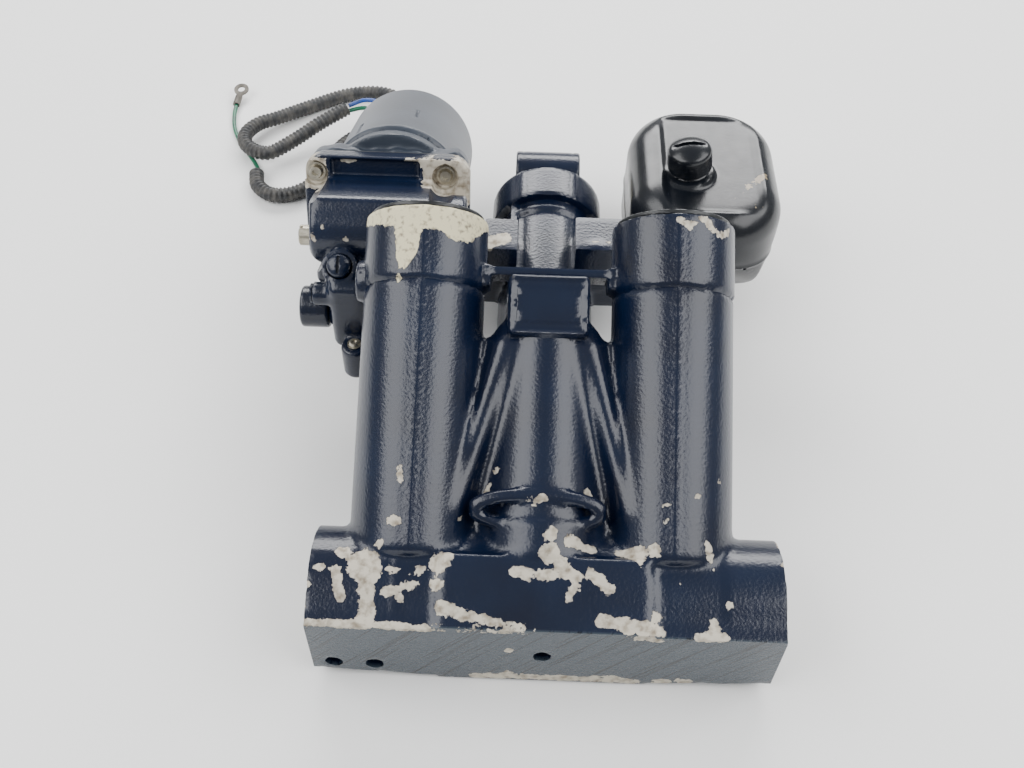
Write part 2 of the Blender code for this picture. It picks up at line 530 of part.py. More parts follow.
def motor_insides(looks, motor):
    """Bearings, magnets, brush gear and the armature with its shaft."""
    solid("bearing_front", ring(4.4 * MM, 9.1 * MM, 5 * MM, 12 * MM, 24), looks["steel"], motor)
    solid("bearing_rear", ring(4.4 * MM, 9.1 * MM, 90.5 * MM, 96.5 * MM, 24), looks["steel"], motor)
    for name, middle in (("left", 180), ("right", 0)):
        outline = []
        for radius, direction in ((33.1 * MM, 1), (26 * MM, -1)):
            for step in range(9):
                angle = math.radians(middle + direction * (-70 + 140 * step / 8))
                outline.append((radius * math.cos(angle), radius * math.sin(angle)))
        solid("magnet_" + name, prism(outline, 22 * MM, 68 * MM), looks["magnet"], motor)
    holder = ring(14 * MM, 33 * MM, 70 * MM, 72 * MM, 32)
    solid("brush_holder", holder, looks["phenolic"], motor)
    for name, low, high in (("left", -20, -11.4), ("right", 11.4, 20)):
        brush = block((low * MM, -3 * MM, 72.4 * MM), (high * MM, 3 * MM, 79 * MM))
        solid("brush_" + name, brush, looks["carbon"], motor)
    shaft = [(0, -27.4 * MM), (3 * MM, -27.4 * MM), (3 * MM, -6 * MM), (4 * MM, -5 * MM), (4 * MM, 96 * MM),
             (0, 96 * MM)]
    solid("armature_shaft", turned(shaft, 20), looks["steel"], motor)
    core = prism(slotted_outline(24.5 * MM, 20.5 * MM, 12), 24 * MM, 62 * MM)
    core_obj = solid("armature_core", core, looks["copper"], motor)
    cut(core_obj, guide("core_hole", rod(4.3 * MM, 20 * MM, 70 * MM, 20), motor))
    solid("commutator", ring(4.3 * MM, 11 * MM, 66 * MM, 82 * MM, 24), looks["copper"], motor)


def slotted_outline(outer, slot_floor, slots):
    """Armature stack seen end on: a circle with evenly spaced slots."""
    points = []
    pitch = 2 * math.pi / slots
    for index in range(slots):
        middle = index * pitch
        for part, radius in ((-0.36, outer), (0.0, outer), (0.36, outer), (0.40, slot_floor), (0.60, slot_floor)):
            angle = middle + part * pitch
            points.append((radius * math.cos(angle), radius * math.sin(angle)))
    return points


def reservoir(looks, assembly, filler):
    tank = solid("reservoir_tank", block(RESERVOIR_LOW, RESERVOIR_HIGH, 16 * MM, 3), looks["tank"], assembly)
    neck = rod(8.5 * MM, -12 * MM, 9 * MM, 24)
    join(tank, guide("filler_neck", neck, filler))
    wall = Vector((3.0, 3.0, 3.0)) * MM
    inside = block(RESERVOIR_LOW + wall, RESERVOIR_HIGH - wall, 13 * MM, 2)
    cut(tank, guide("tank_inside", inside, assembly))
    cut(tank, guide("neck_bore", rod(6 * MM, -14 * MM, 12 * MM, 24), filler))
    front = block((42.8 * MM, 196 * MM, 28 * MM), (56 * MM, 226 * MM, 64 * MM), 2 * MM, 2)
    join(tank, guide("tank_foot", front, assembly))
    screw_at = (0.0, *FOOT_SCREW_YZ)
    cut(tank, guide("foot_hole", rod(2.3 * MM, 40 * MM, 60 * MM, 16), assembly, screw_at, ALONG_X))
    screw = turned([(0, 34 * MM), (2 * MM, 34 * MM), (2 * MM, 56.4 * MM), (4.4 * MM, 56.4 * MM),
                    (3.6 * MM, 58.7 * MM), (0, 58.7 * MM)], 16)
    solid("reservoir_screw", screw, looks["zinc"], assembly, screw_at, ALONG_X)


def filler_cap(looks, filler):
    profile = [(0, 17.6 * MM), (5.5 * MM, 17.6 * MM), (10 * MM, 15 * MM), (11.6 * MM, 11.5 * MM), (11.6 * MM, 2.8 * MM),
               (9 * MM, 2.8 * MM), (9 * MM, 11 * MM), (0, 11 * MM)]
    cap = solid("filler_cap", turned(profile, 24), looks["tank"], filler)
    slot = block((-9 * MM, -1.2 * MM, 15.4 * MM), (9 * MM, 1.2 * MM, 20 * MM))
    cut(cap, guide("cap_slot", slot, filler))
    solid("cap_seal", ring(6.2 * MM, 8.4 * MM, 9.3 * MM, 10.7 * MM, 24), looks["rubber"], filler)


def smooth_route(points, spacing):
    """Points at about one spacing along a Catmull-Rom curve through a route in millimetres."""
    route = [Vector(point) * MM for point in points]
    ends = [2 * route[0] - route[1]] + route + [2 * route[-1] - route[-2]]
    dense = []
    for index in range(1, len(ends) - 2):
        before, start, end, after = ends[index - 1:index + 3]
        for step in range(20):
            t = step / 20
            dense.append(0.5 * (2 * start + (end - before) * t
                                + (2 * before - 5 * start + 4 * end - after) * t ** 2
                                + (3 * start - before - 3 * end + after) * t ** 3))
    dense.append(route[-1])
    lengths = [0.0]
    for first, second in zip(dense, dense[1:]):
        lengths.append(lengths[-1] + (second - first).length)
    count = max(2, round(lengths[-1] / spacing))
    picked = []
    for index in range(count + 1):
        want = lengths[-1] * index / count
        near = min(range(len(dense)), key=lambda i: abs(lengths[i] - want))
        picked.append(dense[near])
    return picked


def cord(name, route, radius, material, assembly, resolution):
    points = smooth_route(route, 5 * radius)
    curve = bpy.data.curves.new(name, 'CURVE')
    curve.dimensions = '3D'
    curve.bevel_depth = radius
    curve.bevel_resolution = resolution
    curve.use_fill_caps = True
    spline = curve.splines.new('POLY')
    spline.points.add(len(points) - 1)
    for place, point in zip(spline.points, points):
        place.co = (*point, 1.0)
    curve.materials.append(material)
    obj = bpy.data.objects.new(name, curve)
    bpy.context.scene.collection.objects.link(obj)
    obj.parent = assembly


def harness(looks, assembly):
    """Split loom on the surface, the motor leads that enter it and the ground lead."""
    cord("loom", LOOM_ROUTE, LOOM_RADIUS, looks["loom"], assembly, 3)
    cord("blue_lead", BLUE_ROUTE, WIRE_RADIUS, looks["blue"], assembly, 2)
    cord("green_lead", GREEN_ROUTE, WIRE_RADIUS, looks["green"], assembly, 2)
    cord("ground_lead", GROUND_ROUTE, WIRE_RADIUS, looks["green"], assembly, 2)
    terminal = empty("terminal_frame", assembly, Vector((-203.7, 392.4, 2.5)) * MM,
                     (math.radians(-78.0), 0.0, math.radians(-6.0)))
    crimp = turned([(0, 0.0), (2.3 * MM, 0.0), (2.3 * MM, 7 * MM), (0, 7 * MM)], 16)
    body = solid("ring_terminal", crimp, looks["tin"], terminal)
    tongue = block((-2 * MM, -0.5 * MM, 6 * MM), (2 * MM, 0.5 * MM, 11 * MM))
    join(body, guide("tongue", tongue, terminal))
    eye = ring(2.3 * MM, 4.8 * MM, -0.5 * MM, 0.5 * MM, 20)
    join(body, guide("terminal_ring", eye, terminal, (0.0, 0.0, 13.5 * MM), (math.pi / 2, 0.0, 0.0)))


def main():
    clear_scene()
    looks = {
        "paint": finish("navy_paint", (0.008, 0.016, 0.035), 0.0, 0.3),
        "tank": finish("navy_tank", (0.006, 0.01, 0.02), 0.0, 0.3),
        "gland": finish("black_gland", (0.02, 0.02, 0.02), 0.3, 0.5),
        "rubber": finish("black_rubber", (0.02, 0.02, 0.02), 0.0, 0.7),
        "nylon": finish("white_nylon", (0.7, 0.68, 0.6), 0.0, 0.5),
        "chrome": finish("chromed_steel", (0.75, 0.75, 0.75), 1.0, 0.1),
        "steel": finish("plain_steel", (0.5, 0.5, 0.5), 1.0, 0.35),
        "zinc": finish("zinc_plated_steel", (0.65, 0.63, 0.58), 1.0, 0.35),
        "bare": finish("bare_aluminium", (0.6, 0.6, 0.6), 1.0, 0.4),
        "magnet": finish("ferrite_magnet", (0.05, 0.05, 0.05), 0.0, 0.6),
        "phenolic": finish("phenolic_board", (0.2, 0.08, 0.03), 0.0, 0.6),
        "carbon": finish("carbon_brush", (0.02, 0.02, 0.02), 0.0, 0.7),
        "copper": finish("copper_winding", (0.7, 0.3, 0.15), 1.0, 0.35),
        "loom": finish("black_loom", (0.015, 0.015, 0.015), 0.0, 0.5),
        "blue": finish("blue_insulation", (0.01, 0.05, 0.4), 0.0, 0.4),
        "green": finish("green_insulation", (0.01, 0.2, 0.08), 0.0, 0.4),
        "tin": finish("tinned_copper", (0.5, 0.48, 0.45), 1.0, 0.4),
    }
    assembly = empty("assembly", None, ASSEMBLY_SHIFT)
    trims = {}
    for side, sign in (("left", -1), ("right", 1)):
        trims[side] = empty("trim_axis_" + side, assembly, (sign * TRIM_SPACING / 2, BASE_RADIUS, BASE_RADIUS),
                            (TRIM_ANGLE - math.pi / 2, 0.0, 0.0))
    tilt = empty("tilt_axis", assembly, (0.0, BASE_RADIUS, BASE_RADIUS), (TILT_SLOPE - math.pi / 2, 0.0, 0.0))
    motor = empty("motor_axis", assembly, MOTOR_FLANGE, (-MOTOR_LEAN - math.pi / 2, 0.0, 0.0))
    filler = empty("filler_axis", assembly, FILLER_BASE, (0.0, -FILLER_LEAN, 0.0))
    main_casting(looks["paint"], assembly, trims, tilt)
    base_bushes(looks["nylon"], assembly)
    trim_rams(looks, trims)
    tilt_ram(looks, tilt)
    pump_manifold(looks, assembly, motor)
    pump_valves(looks, assembly)
    gear_pump(looks, motor)
    electric_motor(looks, motor)
    reservoir(looks, assembly, filler)
    filler_cap(looks, filler)
    harness(looks, assembly)


main()
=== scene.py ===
# %% [markdown]
# # A hydraulic trim and tilt unit
# This unit lifts an outboard motor. One aluminium casting holds two short trim rams and,
# between them, one long tilt ram that lies flat. A gear pump with its electric motor is
# bolted to the left side and an oil reservoir to the right.
#
# The castings are smooth where they were moulded and crisp where a cutter faced them, so
# this file describes each one as a distance field: a formula that gives, for any point,
# how far it is from the surface. Fields join with soft fillets, as foundry patterns do.

# %% Load the frame
import math

import bpy
import numpy as np
from mathutils import Matrix, Vector

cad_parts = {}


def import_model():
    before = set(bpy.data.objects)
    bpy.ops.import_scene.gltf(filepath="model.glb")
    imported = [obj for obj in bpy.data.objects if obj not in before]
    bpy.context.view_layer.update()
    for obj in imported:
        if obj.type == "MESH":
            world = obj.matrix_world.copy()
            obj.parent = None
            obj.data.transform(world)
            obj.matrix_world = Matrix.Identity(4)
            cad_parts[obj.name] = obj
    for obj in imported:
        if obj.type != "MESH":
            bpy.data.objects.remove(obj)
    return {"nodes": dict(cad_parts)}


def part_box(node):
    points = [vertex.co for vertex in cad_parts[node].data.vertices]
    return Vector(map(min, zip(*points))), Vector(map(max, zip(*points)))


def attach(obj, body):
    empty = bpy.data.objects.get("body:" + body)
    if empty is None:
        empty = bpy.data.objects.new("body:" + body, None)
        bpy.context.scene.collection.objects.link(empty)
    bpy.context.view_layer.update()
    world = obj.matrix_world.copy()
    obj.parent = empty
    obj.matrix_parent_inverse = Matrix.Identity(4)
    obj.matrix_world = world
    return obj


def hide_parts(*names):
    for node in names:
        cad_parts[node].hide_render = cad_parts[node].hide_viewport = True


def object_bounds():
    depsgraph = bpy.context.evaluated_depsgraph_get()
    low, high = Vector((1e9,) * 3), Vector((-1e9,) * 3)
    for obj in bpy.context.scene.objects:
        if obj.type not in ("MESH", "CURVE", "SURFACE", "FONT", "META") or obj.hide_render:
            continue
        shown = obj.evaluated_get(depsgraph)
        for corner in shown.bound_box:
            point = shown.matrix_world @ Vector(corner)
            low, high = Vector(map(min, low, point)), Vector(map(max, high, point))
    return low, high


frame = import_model()
CAD_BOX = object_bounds()
MM = 0.001
print("CAD box", [[round(v, 4) for v in corner] for corner in CAD_BOX])

# %% [markdown]
# ## Places
# Every place below is in millimetres from the machined front face, at the height of the
# table. The frame gives that face, so the pieces sit where the CAD has them.

# %% Places from the frame
BASE_LOW, BASE_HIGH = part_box("main_casting")
FRONT = BASE_LOW.y / MM
BASE_LEFT, BASE_RIGHT = BASE_LOW.x / MM, BASE_HIGH.x / MM
BASE_MIDDLE = (BASE_LEFT + BASE_RIGHT) / 2
GLAND_LOW, GLAND_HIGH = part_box("trim_gland_right")
TRIM_X = (GLAND_LOW.x + GLAND_HIGH.x) / 2 / MM
TRIM_ANGLE = math.radians(31.0)
BASE_RADIUS = 26.5
TILT_SLOPE = math.asin(3.5 / 220.5)
MOTOR_LEAN = math.radians(22.0)
MOTOR_MIDDLE = (-79.5, 222.0, 70.0)
FILLER_LEAN = math.radians(8.0)
FILLER_BASE = (73.0, 252.0, 74.0)
MOTOR_AXIS = Vector((0.0, math.cos(MOTOR_LEAN), -math.sin(MOTOR_LEAN)))
RELIEF_LEAN = math.radians(32.0)
RELIEF_BASE = (-98.5, 177.0, 64.0)
# How far the barrels' rims and the middle of the rod's eye lie along their own axes
TRIM_RIM, TILT_RIM, EYE_ALONG = 161.0, 242.5, 267.5
# Where axes that run straight across or straight up cross the other two directions
PORT_YZ, RELEASE_YZ, SPOOL_YZ, CHECK_YZ = (139.5, 96.5), (191.5, 75.0), (165.0, 62.0), (173.5, 44.0)
LOBE_XY = (-92.5, 152.5)


def world(place):
    """A place in millimetres from the front face, as metres in the frame."""
    x, y, z = place
    return Vector((x, y + FRONT, z)) * MM


print("base tube from", round(BASE_LEFT, 1), "to", round(BASE_RIGHT, 1), "trim axis at", round(TRIM_X, 1))

# %% [markdown]
# ## Camera
# The view looks down at fifty degrees over the base tube, from a little more than half a
# metre away, and leans a degree clockwise.

# %% Camera
CAMERA_PLACE = (-0.0100, -0.3680, 0.4394)
# Turn about the upright, tilt away from straight down, and lean about its own line of sight
HEADING, TILT, LEAN = (math.radians(angle) for angle in (0.848, 40.0, 1.4))


def add_object(name, data):
    """A new object in the scene that shows some data."""
    made = bpy.data.objects.new(name, data)
    bpy.context.scene.collection.objects.link(made)
    return made


camera_data = bpy.data.cameras.new("camera")
camera_data.sensor_width = 36.0
camera_data.lens = 38.67
camera = add_object("camera", camera_data)
turn = Matrix.Rotation(HEADING, 4, 'Z') @ Matrix.Rotation(TILT, 4, 'X') @ Matrix.Rotation(LEAN, 4, 'Z')
camera.matrix_world = Matrix.Translation(CAMERA_PLACE) @ turn
bpy.context.scene.camera = camera
print("camera at", [round(v, 3) for v in camera.location])

# %% [markdown]
# ## Nodes for materials
# One helper adds any shader node, sets its properties, links or fills its inputs and
# gives back the output to use. Colours are sRGB hex, turned to linear in one place. Two
# patterns serve every finish: a noise of a stated size, and two colours mottled by it.


# %% Material helpers
def linear(text):
    """An sRGB hex colour as linear RGBA."""
    values = [int(text[i:i + 2], 16) / 255 for i in (0, 2, 4)]
    return (*[v / 12.92 if v <= 0.04045 else ((v + 0.055) / 1.055) ** 2.4 for v in values], 1.0)


def connect(tree, made, inputs):
    """Link sockets, and write hex colours and numbers, into a node's inputs."""
    for name, value in (inputs or {}).items():
        if isinstance(value, bpy.types.NodeSocket):
            tree.links.new(value, made.inputs[name])
        else:
            made.inputs[name].default_value = linear(value) if made.inputs[name].type == 'RGBA' else value


def node(tree, kind, inputs=None, out=0, **settings):
    """Add one node and return one of its outputs."""
    made = tree.nodes.new(kind)
    for name, value in settings.items():
        setattr(made, name, value)
    connect(tree, made, inputs)
    return made.outputs[out]


def material(name):
    """A new node material and its tree."""
    made = bpy.data.materials.new(name)
    made.use_nodes = True
    return made, made.node_tree


def grain(tree, size_mm, stretch=(1.0, 1.0, 1.0), detail=2.0, turn=(0.0, 0.0, 0.0)):
    """A noise pattern on Object coordinates whose blobs are about size_mm across."""
    place = node(tree, "ShaderNodeTexCoord", out="Object")
    place = node(tree, "ShaderNodeMapping", {"Vector": place, "Scale": [1.0 / s for s in stretch], "Rotation": turn},
                 vector_type='TEXTURE')
    return node(tree, "ShaderNodeTexNoise", {"Vector": place, "Scale": 1.0 / (size_mm * MM), "Detail": detail})


def mottled(tree, size_mm, detail, low, high, clean, stained):
    """One colour that turns to another where the noise passes from low to high."""
    cover = node(tree, "ShaderNodeMapRange", {"Value": grain(tree, size_mm, detail=detail), "From Min": low,
                                              "From Max": high})
    return node(tree, "ShaderNodeMix", {0: cover, 6: clean, 7: stained}, out=2, data_type='RGBA')


print("material helpers ready")

# %% [markdown]
# ## Wiring sleeve and leads
# The motor's two leads leave a rubber grommet and slip into a split corrugated sleeve of
# black nylon, which lies on the table in two loose bends. A green earth lead comes out of
# its far end and carries a tinned ring terminal. Each follows one smooth curve.

# %% Finishes of the wiring
# Moulded nylon sleeve: dull black with dust in its grooves
loom_nylon, tree = material("moulded_nylon_sleeve")
colour = mottled(tree, 5.0, 4.0, 0.42, 0.75, "2A2B2D", "57544F")
bump = node(tree, "ShaderNodeBump", {"Height": grain(tree, 0.8), "Strength": 0.25, "Distance": 0.1 * MM})
connect(tree, tree.nodes["Principled BSDF"], {"Base Color": colour, "Roughness": 0.5, "Normal": bump})


def insulation(name, clean, dirty):
    """Extruded PVC: an even satin colour, a little grubby."""
    made, tree = material(name)
    colour = mottled(tree, 4.0, 3.0, 0.4, 0.8, clean, dirty)
    bump = node(tree, "ShaderNodeBump", {"Height": grain(tree, 1.5), "Strength": 0.1, "Distance": 0.1 * MM})
    connect(tree, tree.nodes["Principled BSDF"], {"Base Color": colour, "Roughness": 0.38, "Normal": bump})
    return made


# Bright blue lead, dulled to slate by grease
blue_pvc = insulation("extruded_blue_pvc", "1F4FA8", "22304A")
# Deep green lead, nearly black where it is dirty
green_pvc = insulation("extruded_green_pvc", "0E6B4A", "1C3D35")
print("wiring finishes", loom_nylon.name, blue_pvc.name, green_pvc.name)

# %% Routes of the wiring
LOOM_ROUTE = [
    (-128.0, 374.5, 15.5), (-143.0, 362.0, 13.0), (-158.0, 347.5, 10.0),
    (-172.0, 337.0, 8.2), (-185.0, 342.0, 8.0), (-189.5, 353.5, 8.0),
    (-184.0, 366.0, 7.5), (-172.0, 376.0, 6.0), (-154.0, 390.0, 5.0),
    (-132.0, 404.0, 4.8), (-112.0, 407.5, 4.8), (-97.0, 400.0, 4.8),
    (-93.0, 386.0, 4.8), (-101.0, 373.0, 4.8), (-117.0, 364.0, 4.8),
    (-128.0, 351.0, 4.8), (-133.0, 334.0, 4.8), (-138.0, 317.0, 4.8),
    (-150.0, 305.0, 4.8), (-164.0, 302.0, 4.8), (-174.0, 310.0, 4.8),
    (-177.0, 322.0, 4.8),
]
BLUE_ROUTE = [
    (-95.6, 322.6, 34.6), (-95.0, 336.0, 29.5), (-95.0, 351.0, 25.0), (-98.0, 366.0, 21.5),
    (-106.0, 378.0, 18.5), (-117.0, 382.0, 17.0), (-126.4, 376.6, 16.4),
]
GREEN_ROUTE = [
    (-99.4, 321.3, 31.3), (-99.5, 335.0, 26.0), (-99.5, 350.0, 21.0), (-102.0, 363.0, 17.0),
    (-108.5, 373.0, 14.5), (-117.0, 378.3, 13.8), (-126.2, 374.9, 13.9),
]
GROUND_ROUTE = [
    (-177.3, 323.5, 3.6), (-178.0, 329.0, 1.6), (-181.5, 336.0, 1.6),
    (-188.0, 346.0, 1.6), (-195.5, 358.0, 1.6), (-200.5, 370.0, 1.6),
    (-203.0, 382.0, 1.8), (-203.6, 392.0, 2.4),
]
WIRE_RADIUS = 1.3
LOOM_RADIUS = 4.6


def smooth_route(route, spacing_mm):
    """Even points along a Catmull-Rom curve through a route, in metres."""
    route = [world(point) for point in route]
    ends = [2 * route[0] - route[1]] + route + [2 * route[-1] - route[-2]]
    dense = []
    for before, start, end, after in zip(ends, ends[1:], ends[2:], ends[3:]):
        for step in range(24):
            t = step / 24
            dense.append(0.5 * (2 * start + (end - before) * t
                                + (2 * before - 5 * start + 4 * end - after) * t ** 2
                                + (3 * start - before - 3 * end + after) * t ** 3))
    dense.append(route[-1])
    dense = np.array(dense)
    travel = np.concatenate([[0.0], np.cumsum(np.linalg.norm(np.diff(dense, axis=0), axis=1))])
    wanted = np.linspace(0.0, travel[-1], max(2, round(travel[-1] / (spacing_mm * MM))) + 1)
    return np.stack([np.interp(wanted, travel, dense[:, axis]) for axis in range(3)], 1), float(travel[-1])


def open_curve(name, points, radius=0.0):
    """A poly curve through points, as a round wire if it has a radius."""
    curve = bpy.data.curves.new(name, 'CURVE')
    curve.dimensions = '3D'
    curve.bevel_depth = radius * MM
    curve.bevel_resolution = 6
    curve.use_fill_caps = True
    spline = curve.splines.new('POLY')
    spline.points.add(len(points) - 1)
    for place, point in zip(spline.points, points):
        place.co = (*point, 1.0)
    return add_object(name, curve)


print("routes of", len(LOOM_ROUTE), len(BLUE_ROUTE), len(GREEN_ROUTE), len(GROUND_ROUTE), "points")


# %% Leads
def lead(name, route, finish, cad_node):
    """One insulated lead, as a round wire along a smooth curve."""
    points, length = smooth_route(route, 2.0)
    wire = open_curve(name, points, WIRE_RADIUS)
    wire.data.materials.append(finish)
    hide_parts(cad_node)
    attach(wire, "unit")
    print(name, round(length / MM), "mm")


lead("motor_lead_blue", BLUE_ROUTE, blue_pvc, "blue_lead")
lead("motor_lead_green", GREEN_ROUTE, green_pvc, "green_lead")
lead("earth_lead", GROUND_ROUTE, green_pvc, "ground_lead")

# %% [markdown]
# The sleeve's rings repeat along its route, so Geometry Nodes sweep a circle along the
# curve and let its radius rise and fall once for each ring.


# %% Corrugated sleeve
def add_input(tree, name, kind, value=None):
    """A named input of a Geometry Nodes tree."""
    socket = tree.interface.new_socket(name, in_out='INPUT', socket_type=kind)
    if value is not None:
        socket.default_value = value


def new_tree(name):
    """An empty Geometry Nodes tree that takes and gives a geometry."""
    tree = bpy.data.node_groups.new(name, 'GeometryNodeTree')
    tree.is_modifier = True
    add_input(tree, "Geometry", 'NodeSocketGeometry')
    tree.interface.new_socket("Geometry", in_out='OUTPUT', socket_type='NodeSocketGeometry')
    return tree


def end_tree(tree, shape, finish):
    """Realize instances, set the material and give the result out."""
    shape = node(tree, "GeometryNodeRealizeInstances", {"Geometry": shape})
    shape = node(tree, "GeometryNodeSetMaterial", {"Geometry": shape, "Material": finish})
    output = tree.nodes.new("NodeGroupOutput")
    tree.links.new(shape, output.inputs[0])


def run_tree(obj, tree, name, **values):
    """Run a tree on an object and keep its result as a plain mesh with that name."""
    modifier = obj.modifiers.new("nodes", 'NODES')
    modifier.node_group = tree
    for item in tree.interface.items_tree:
        if item.in_out == 'INPUT' and item.name in values:
            modifier[item.identifier] = values[item.name]
    shown = obj.evaluated_get(bpy.context.evaluated_depsgraph_get())
    mesh = bpy.data.meshes.new_from_object(shown)
    mesh.name = name
    bpy.data.objects.remove(obj)
    return add_object(name, mesh)


sleeve_tree = new_tree("corrugated_sleeve")
add_input(sleeve_tree, "Radius", 'NodeSocketFloat', LOOM_RADIUS * MM)
add_input(sleeve_tree, "Ring depth", 'NodeSocketFloat', 0.45 * MM)
add_input(sleeve_tree, "Ring pitch", 'NodeSocketFloat', 2.7 * MM)
add_input(sleeve_tree, "Material", 'NodeSocketMaterial')
given = sleeve_tree.nodes.new("NodeGroupInput").outputs
step = node(sleeve_tree, "ShaderNodeMath", {0: given["Ring pitch"], 1: 0.2}, operation='MULTIPLY')
path = node(sleeve_tree, "GeometryNodeResampleCurve", {"Curve": given["Geometry"], "Length": step}, mode='LENGTH')
travel = node(sleeve_tree, "GeometryNodeSplineParameter", out="Length")
turns = node(sleeve_tree, "ShaderNodeMath", {0: travel, 1: given["Ring pitch"]}, operation='DIVIDE')
angle = node(sleeve_tree, "ShaderNodeMath", {0: turns, 1: 2 * math.pi}, operation='MULTIPLY')
wave = node(sleeve_tree, "ShaderNodeMath", {0: angle}, operation='COSINE')
wave = node(sleeve_tree, "ShaderNodeMath", {0: wave, 1: 1.0}, operation='SUBTRACT')
radius = node(sleeve_tree, "ShaderNodeMath", {0: wave, 1: given["Ring depth"], 2: given["Radius"]},
              operation='MULTIPLY_ADD')
circle = node(sleeve_tree, "GeometryNodeCurvePrimitiveCircle", {"Resolution": 28, "Radius": 1.0})
tube = node(sleeve_tree, "GeometryNodeCurveToMesh", {"Curve": path, "Profile Curve": circle, "Scale": radius,
                                                    "Fill Caps": True})
end_tree(sleeve_tree, tube, given["Material"])

loom_points, loom_length = smooth_route(LOOM_ROUTE, 3.0)
sleeve = run_tree(open_curve("sleeve_path", loom_points), sleeve_tree, "corrugated_sleeve", Material=loom_nylon)
sleeve.data.shade_smooth()
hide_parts("loom")
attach(sleeve, "unit")
print("sleeve", round(loom_length / MM), "mm,", len(sleeve.data.polygons), "faces")

# %% [markdown]
# ## Distance fields
# A field is negative inside a shape and positive outside. The smaller of two fields is
# their union; a smooth minimum rounds the corner between them like a fillet.


# %% Fields of simple shapes
def soft_min(a, b, k):
    """Union of two fields with a fillet of about k between them."""
    h = np.clip(0.5 + 0.5 * (b - a) / k, 0.0, 1.0)
    return b + (a - b) * h - k * h * (1.0 - h)


def soft_max(a, b, k):
    """What two fields have in common, with its edge rounded by about k."""
    return -soft_min(-a, -b, k)


def rounded(across, along, edge):
    """Combine two distances whose corner has a radius."""
    a = across + edge
    b = along + edge
    return np.minimum(np.maximum(a, b), 0.0) + np.hypot(np.maximum(a, 0.0), np.maximum(b, 0.0)) - edge


def rod_field(across, along, radius, start, end, edge=0.6):
    """Cylinder from its distance to the axis and its height along the axis."""
    return rounded(across - radius, np.maximum(start - along, along - end), edge)


def cone_field(across, along, start, end, low_radius, high_radius):
    """Cone whose radius goes evenly from one end to the other."""
    slope = (high_radius - low_radius) / (end - start)
    lean = 1.0 / math.sqrt(1.0 + slope * slope)
    wall = (across - low_radius - slope * (along - start)) * lean
    return np.maximum(wall, np.maximum(start - along, along - end))


def box_field(x, y, z, low, high, edge=1.0):
    """Box between two corners, with its edges rounded."""
    out = []
    for value, first, last in ((x, low[0], high[0]), (y, low[1], high[1]), (z, low[2], high[2])):
        out.append(np.abs(value - (first + last) / 2) - (last - first) / 2 + edge)
    reach = np.sqrt(sum(np.maximum(q, 0.0) ** 2 for q in out))
    return reach + np.minimum(np.maximum(np.maximum(out[0], out[1]), out[2]), 0.0) - edge


def capsule(x, y, z, start, end, radius):
    """Round-ended bar between two points."""
    start = np.array(start, float)
    span = np.array(end, float) - start
    px, py, pz = x - start[0], y - start[1], z - start[2]
    t = np.clip((px * span[0] + py * span[1] + pz * span[2]) / max(span @ span, 1e-9), 0.0, 1.0)
    return np.sqrt((px - t * span[0]) ** 2 + (py - t * span[1]) ** 2 + (pz - t * span[2]) ** 2) - radius


def half_plane(u, v, first, second):
    """Signed distance to the line through two points: positive on its left."""
    du, dv = second[0] - first[0], second[1] - first[1]
    return ((v - first[1]) * du - (u - first[0]) * dv) / math.hypot(du, dv)


def from_axis(u, v, place):
    """Distance to an axis that crosses the u and v directions at a place."""
    return np.hypot(u - place[0], v - place[1])


print("fields ready")

# %% [markdown]
# ## From a field to a mesh
# The field is sampled on a grid. Each grid cell that the surface crosses gets one vertex,
# placed where the surface's local planes meet, which keeps faced edges crisp. This method
# is called dual contouring.


# %% Dual contouring
def gradient(field, points, step=0.06):
    """Unit direction in which the field grows fastest."""
    slope = np.empty_like(points)
    for axis in range(3):
        ahead, behind = points.copy(), points.copy()
        ahead[:, axis] += step
        behind[:, axis] -= step
        slope[:, axis] = field(ahead) - field(behind)
    return slope / np.maximum(np.linalg.norm(slope, axis=1, keepdims=True), 1e-9)


def sample(field, low, counts, cell):
    """Field values on a grid, worked out one slab at a time."""
    values = np.empty(counts, np.float32)
    ys = low[1] + cell * np.arange(counts[1])
    zs = low[2] + cell * np.arange(counts[2])
    slab = 12
    for first in range(0, counts[0], slab):
        xs = low[0] + cell * np.arange(first, min(first + slab, counts[0]))
        points = np.stack(np.meshgrid(xs, ys, zs, indexing="ij"), -1).reshape(-1, 3)
        values[first:first + slab] = field(points).reshape(len(xs), counts[1], counts[2])
    return values


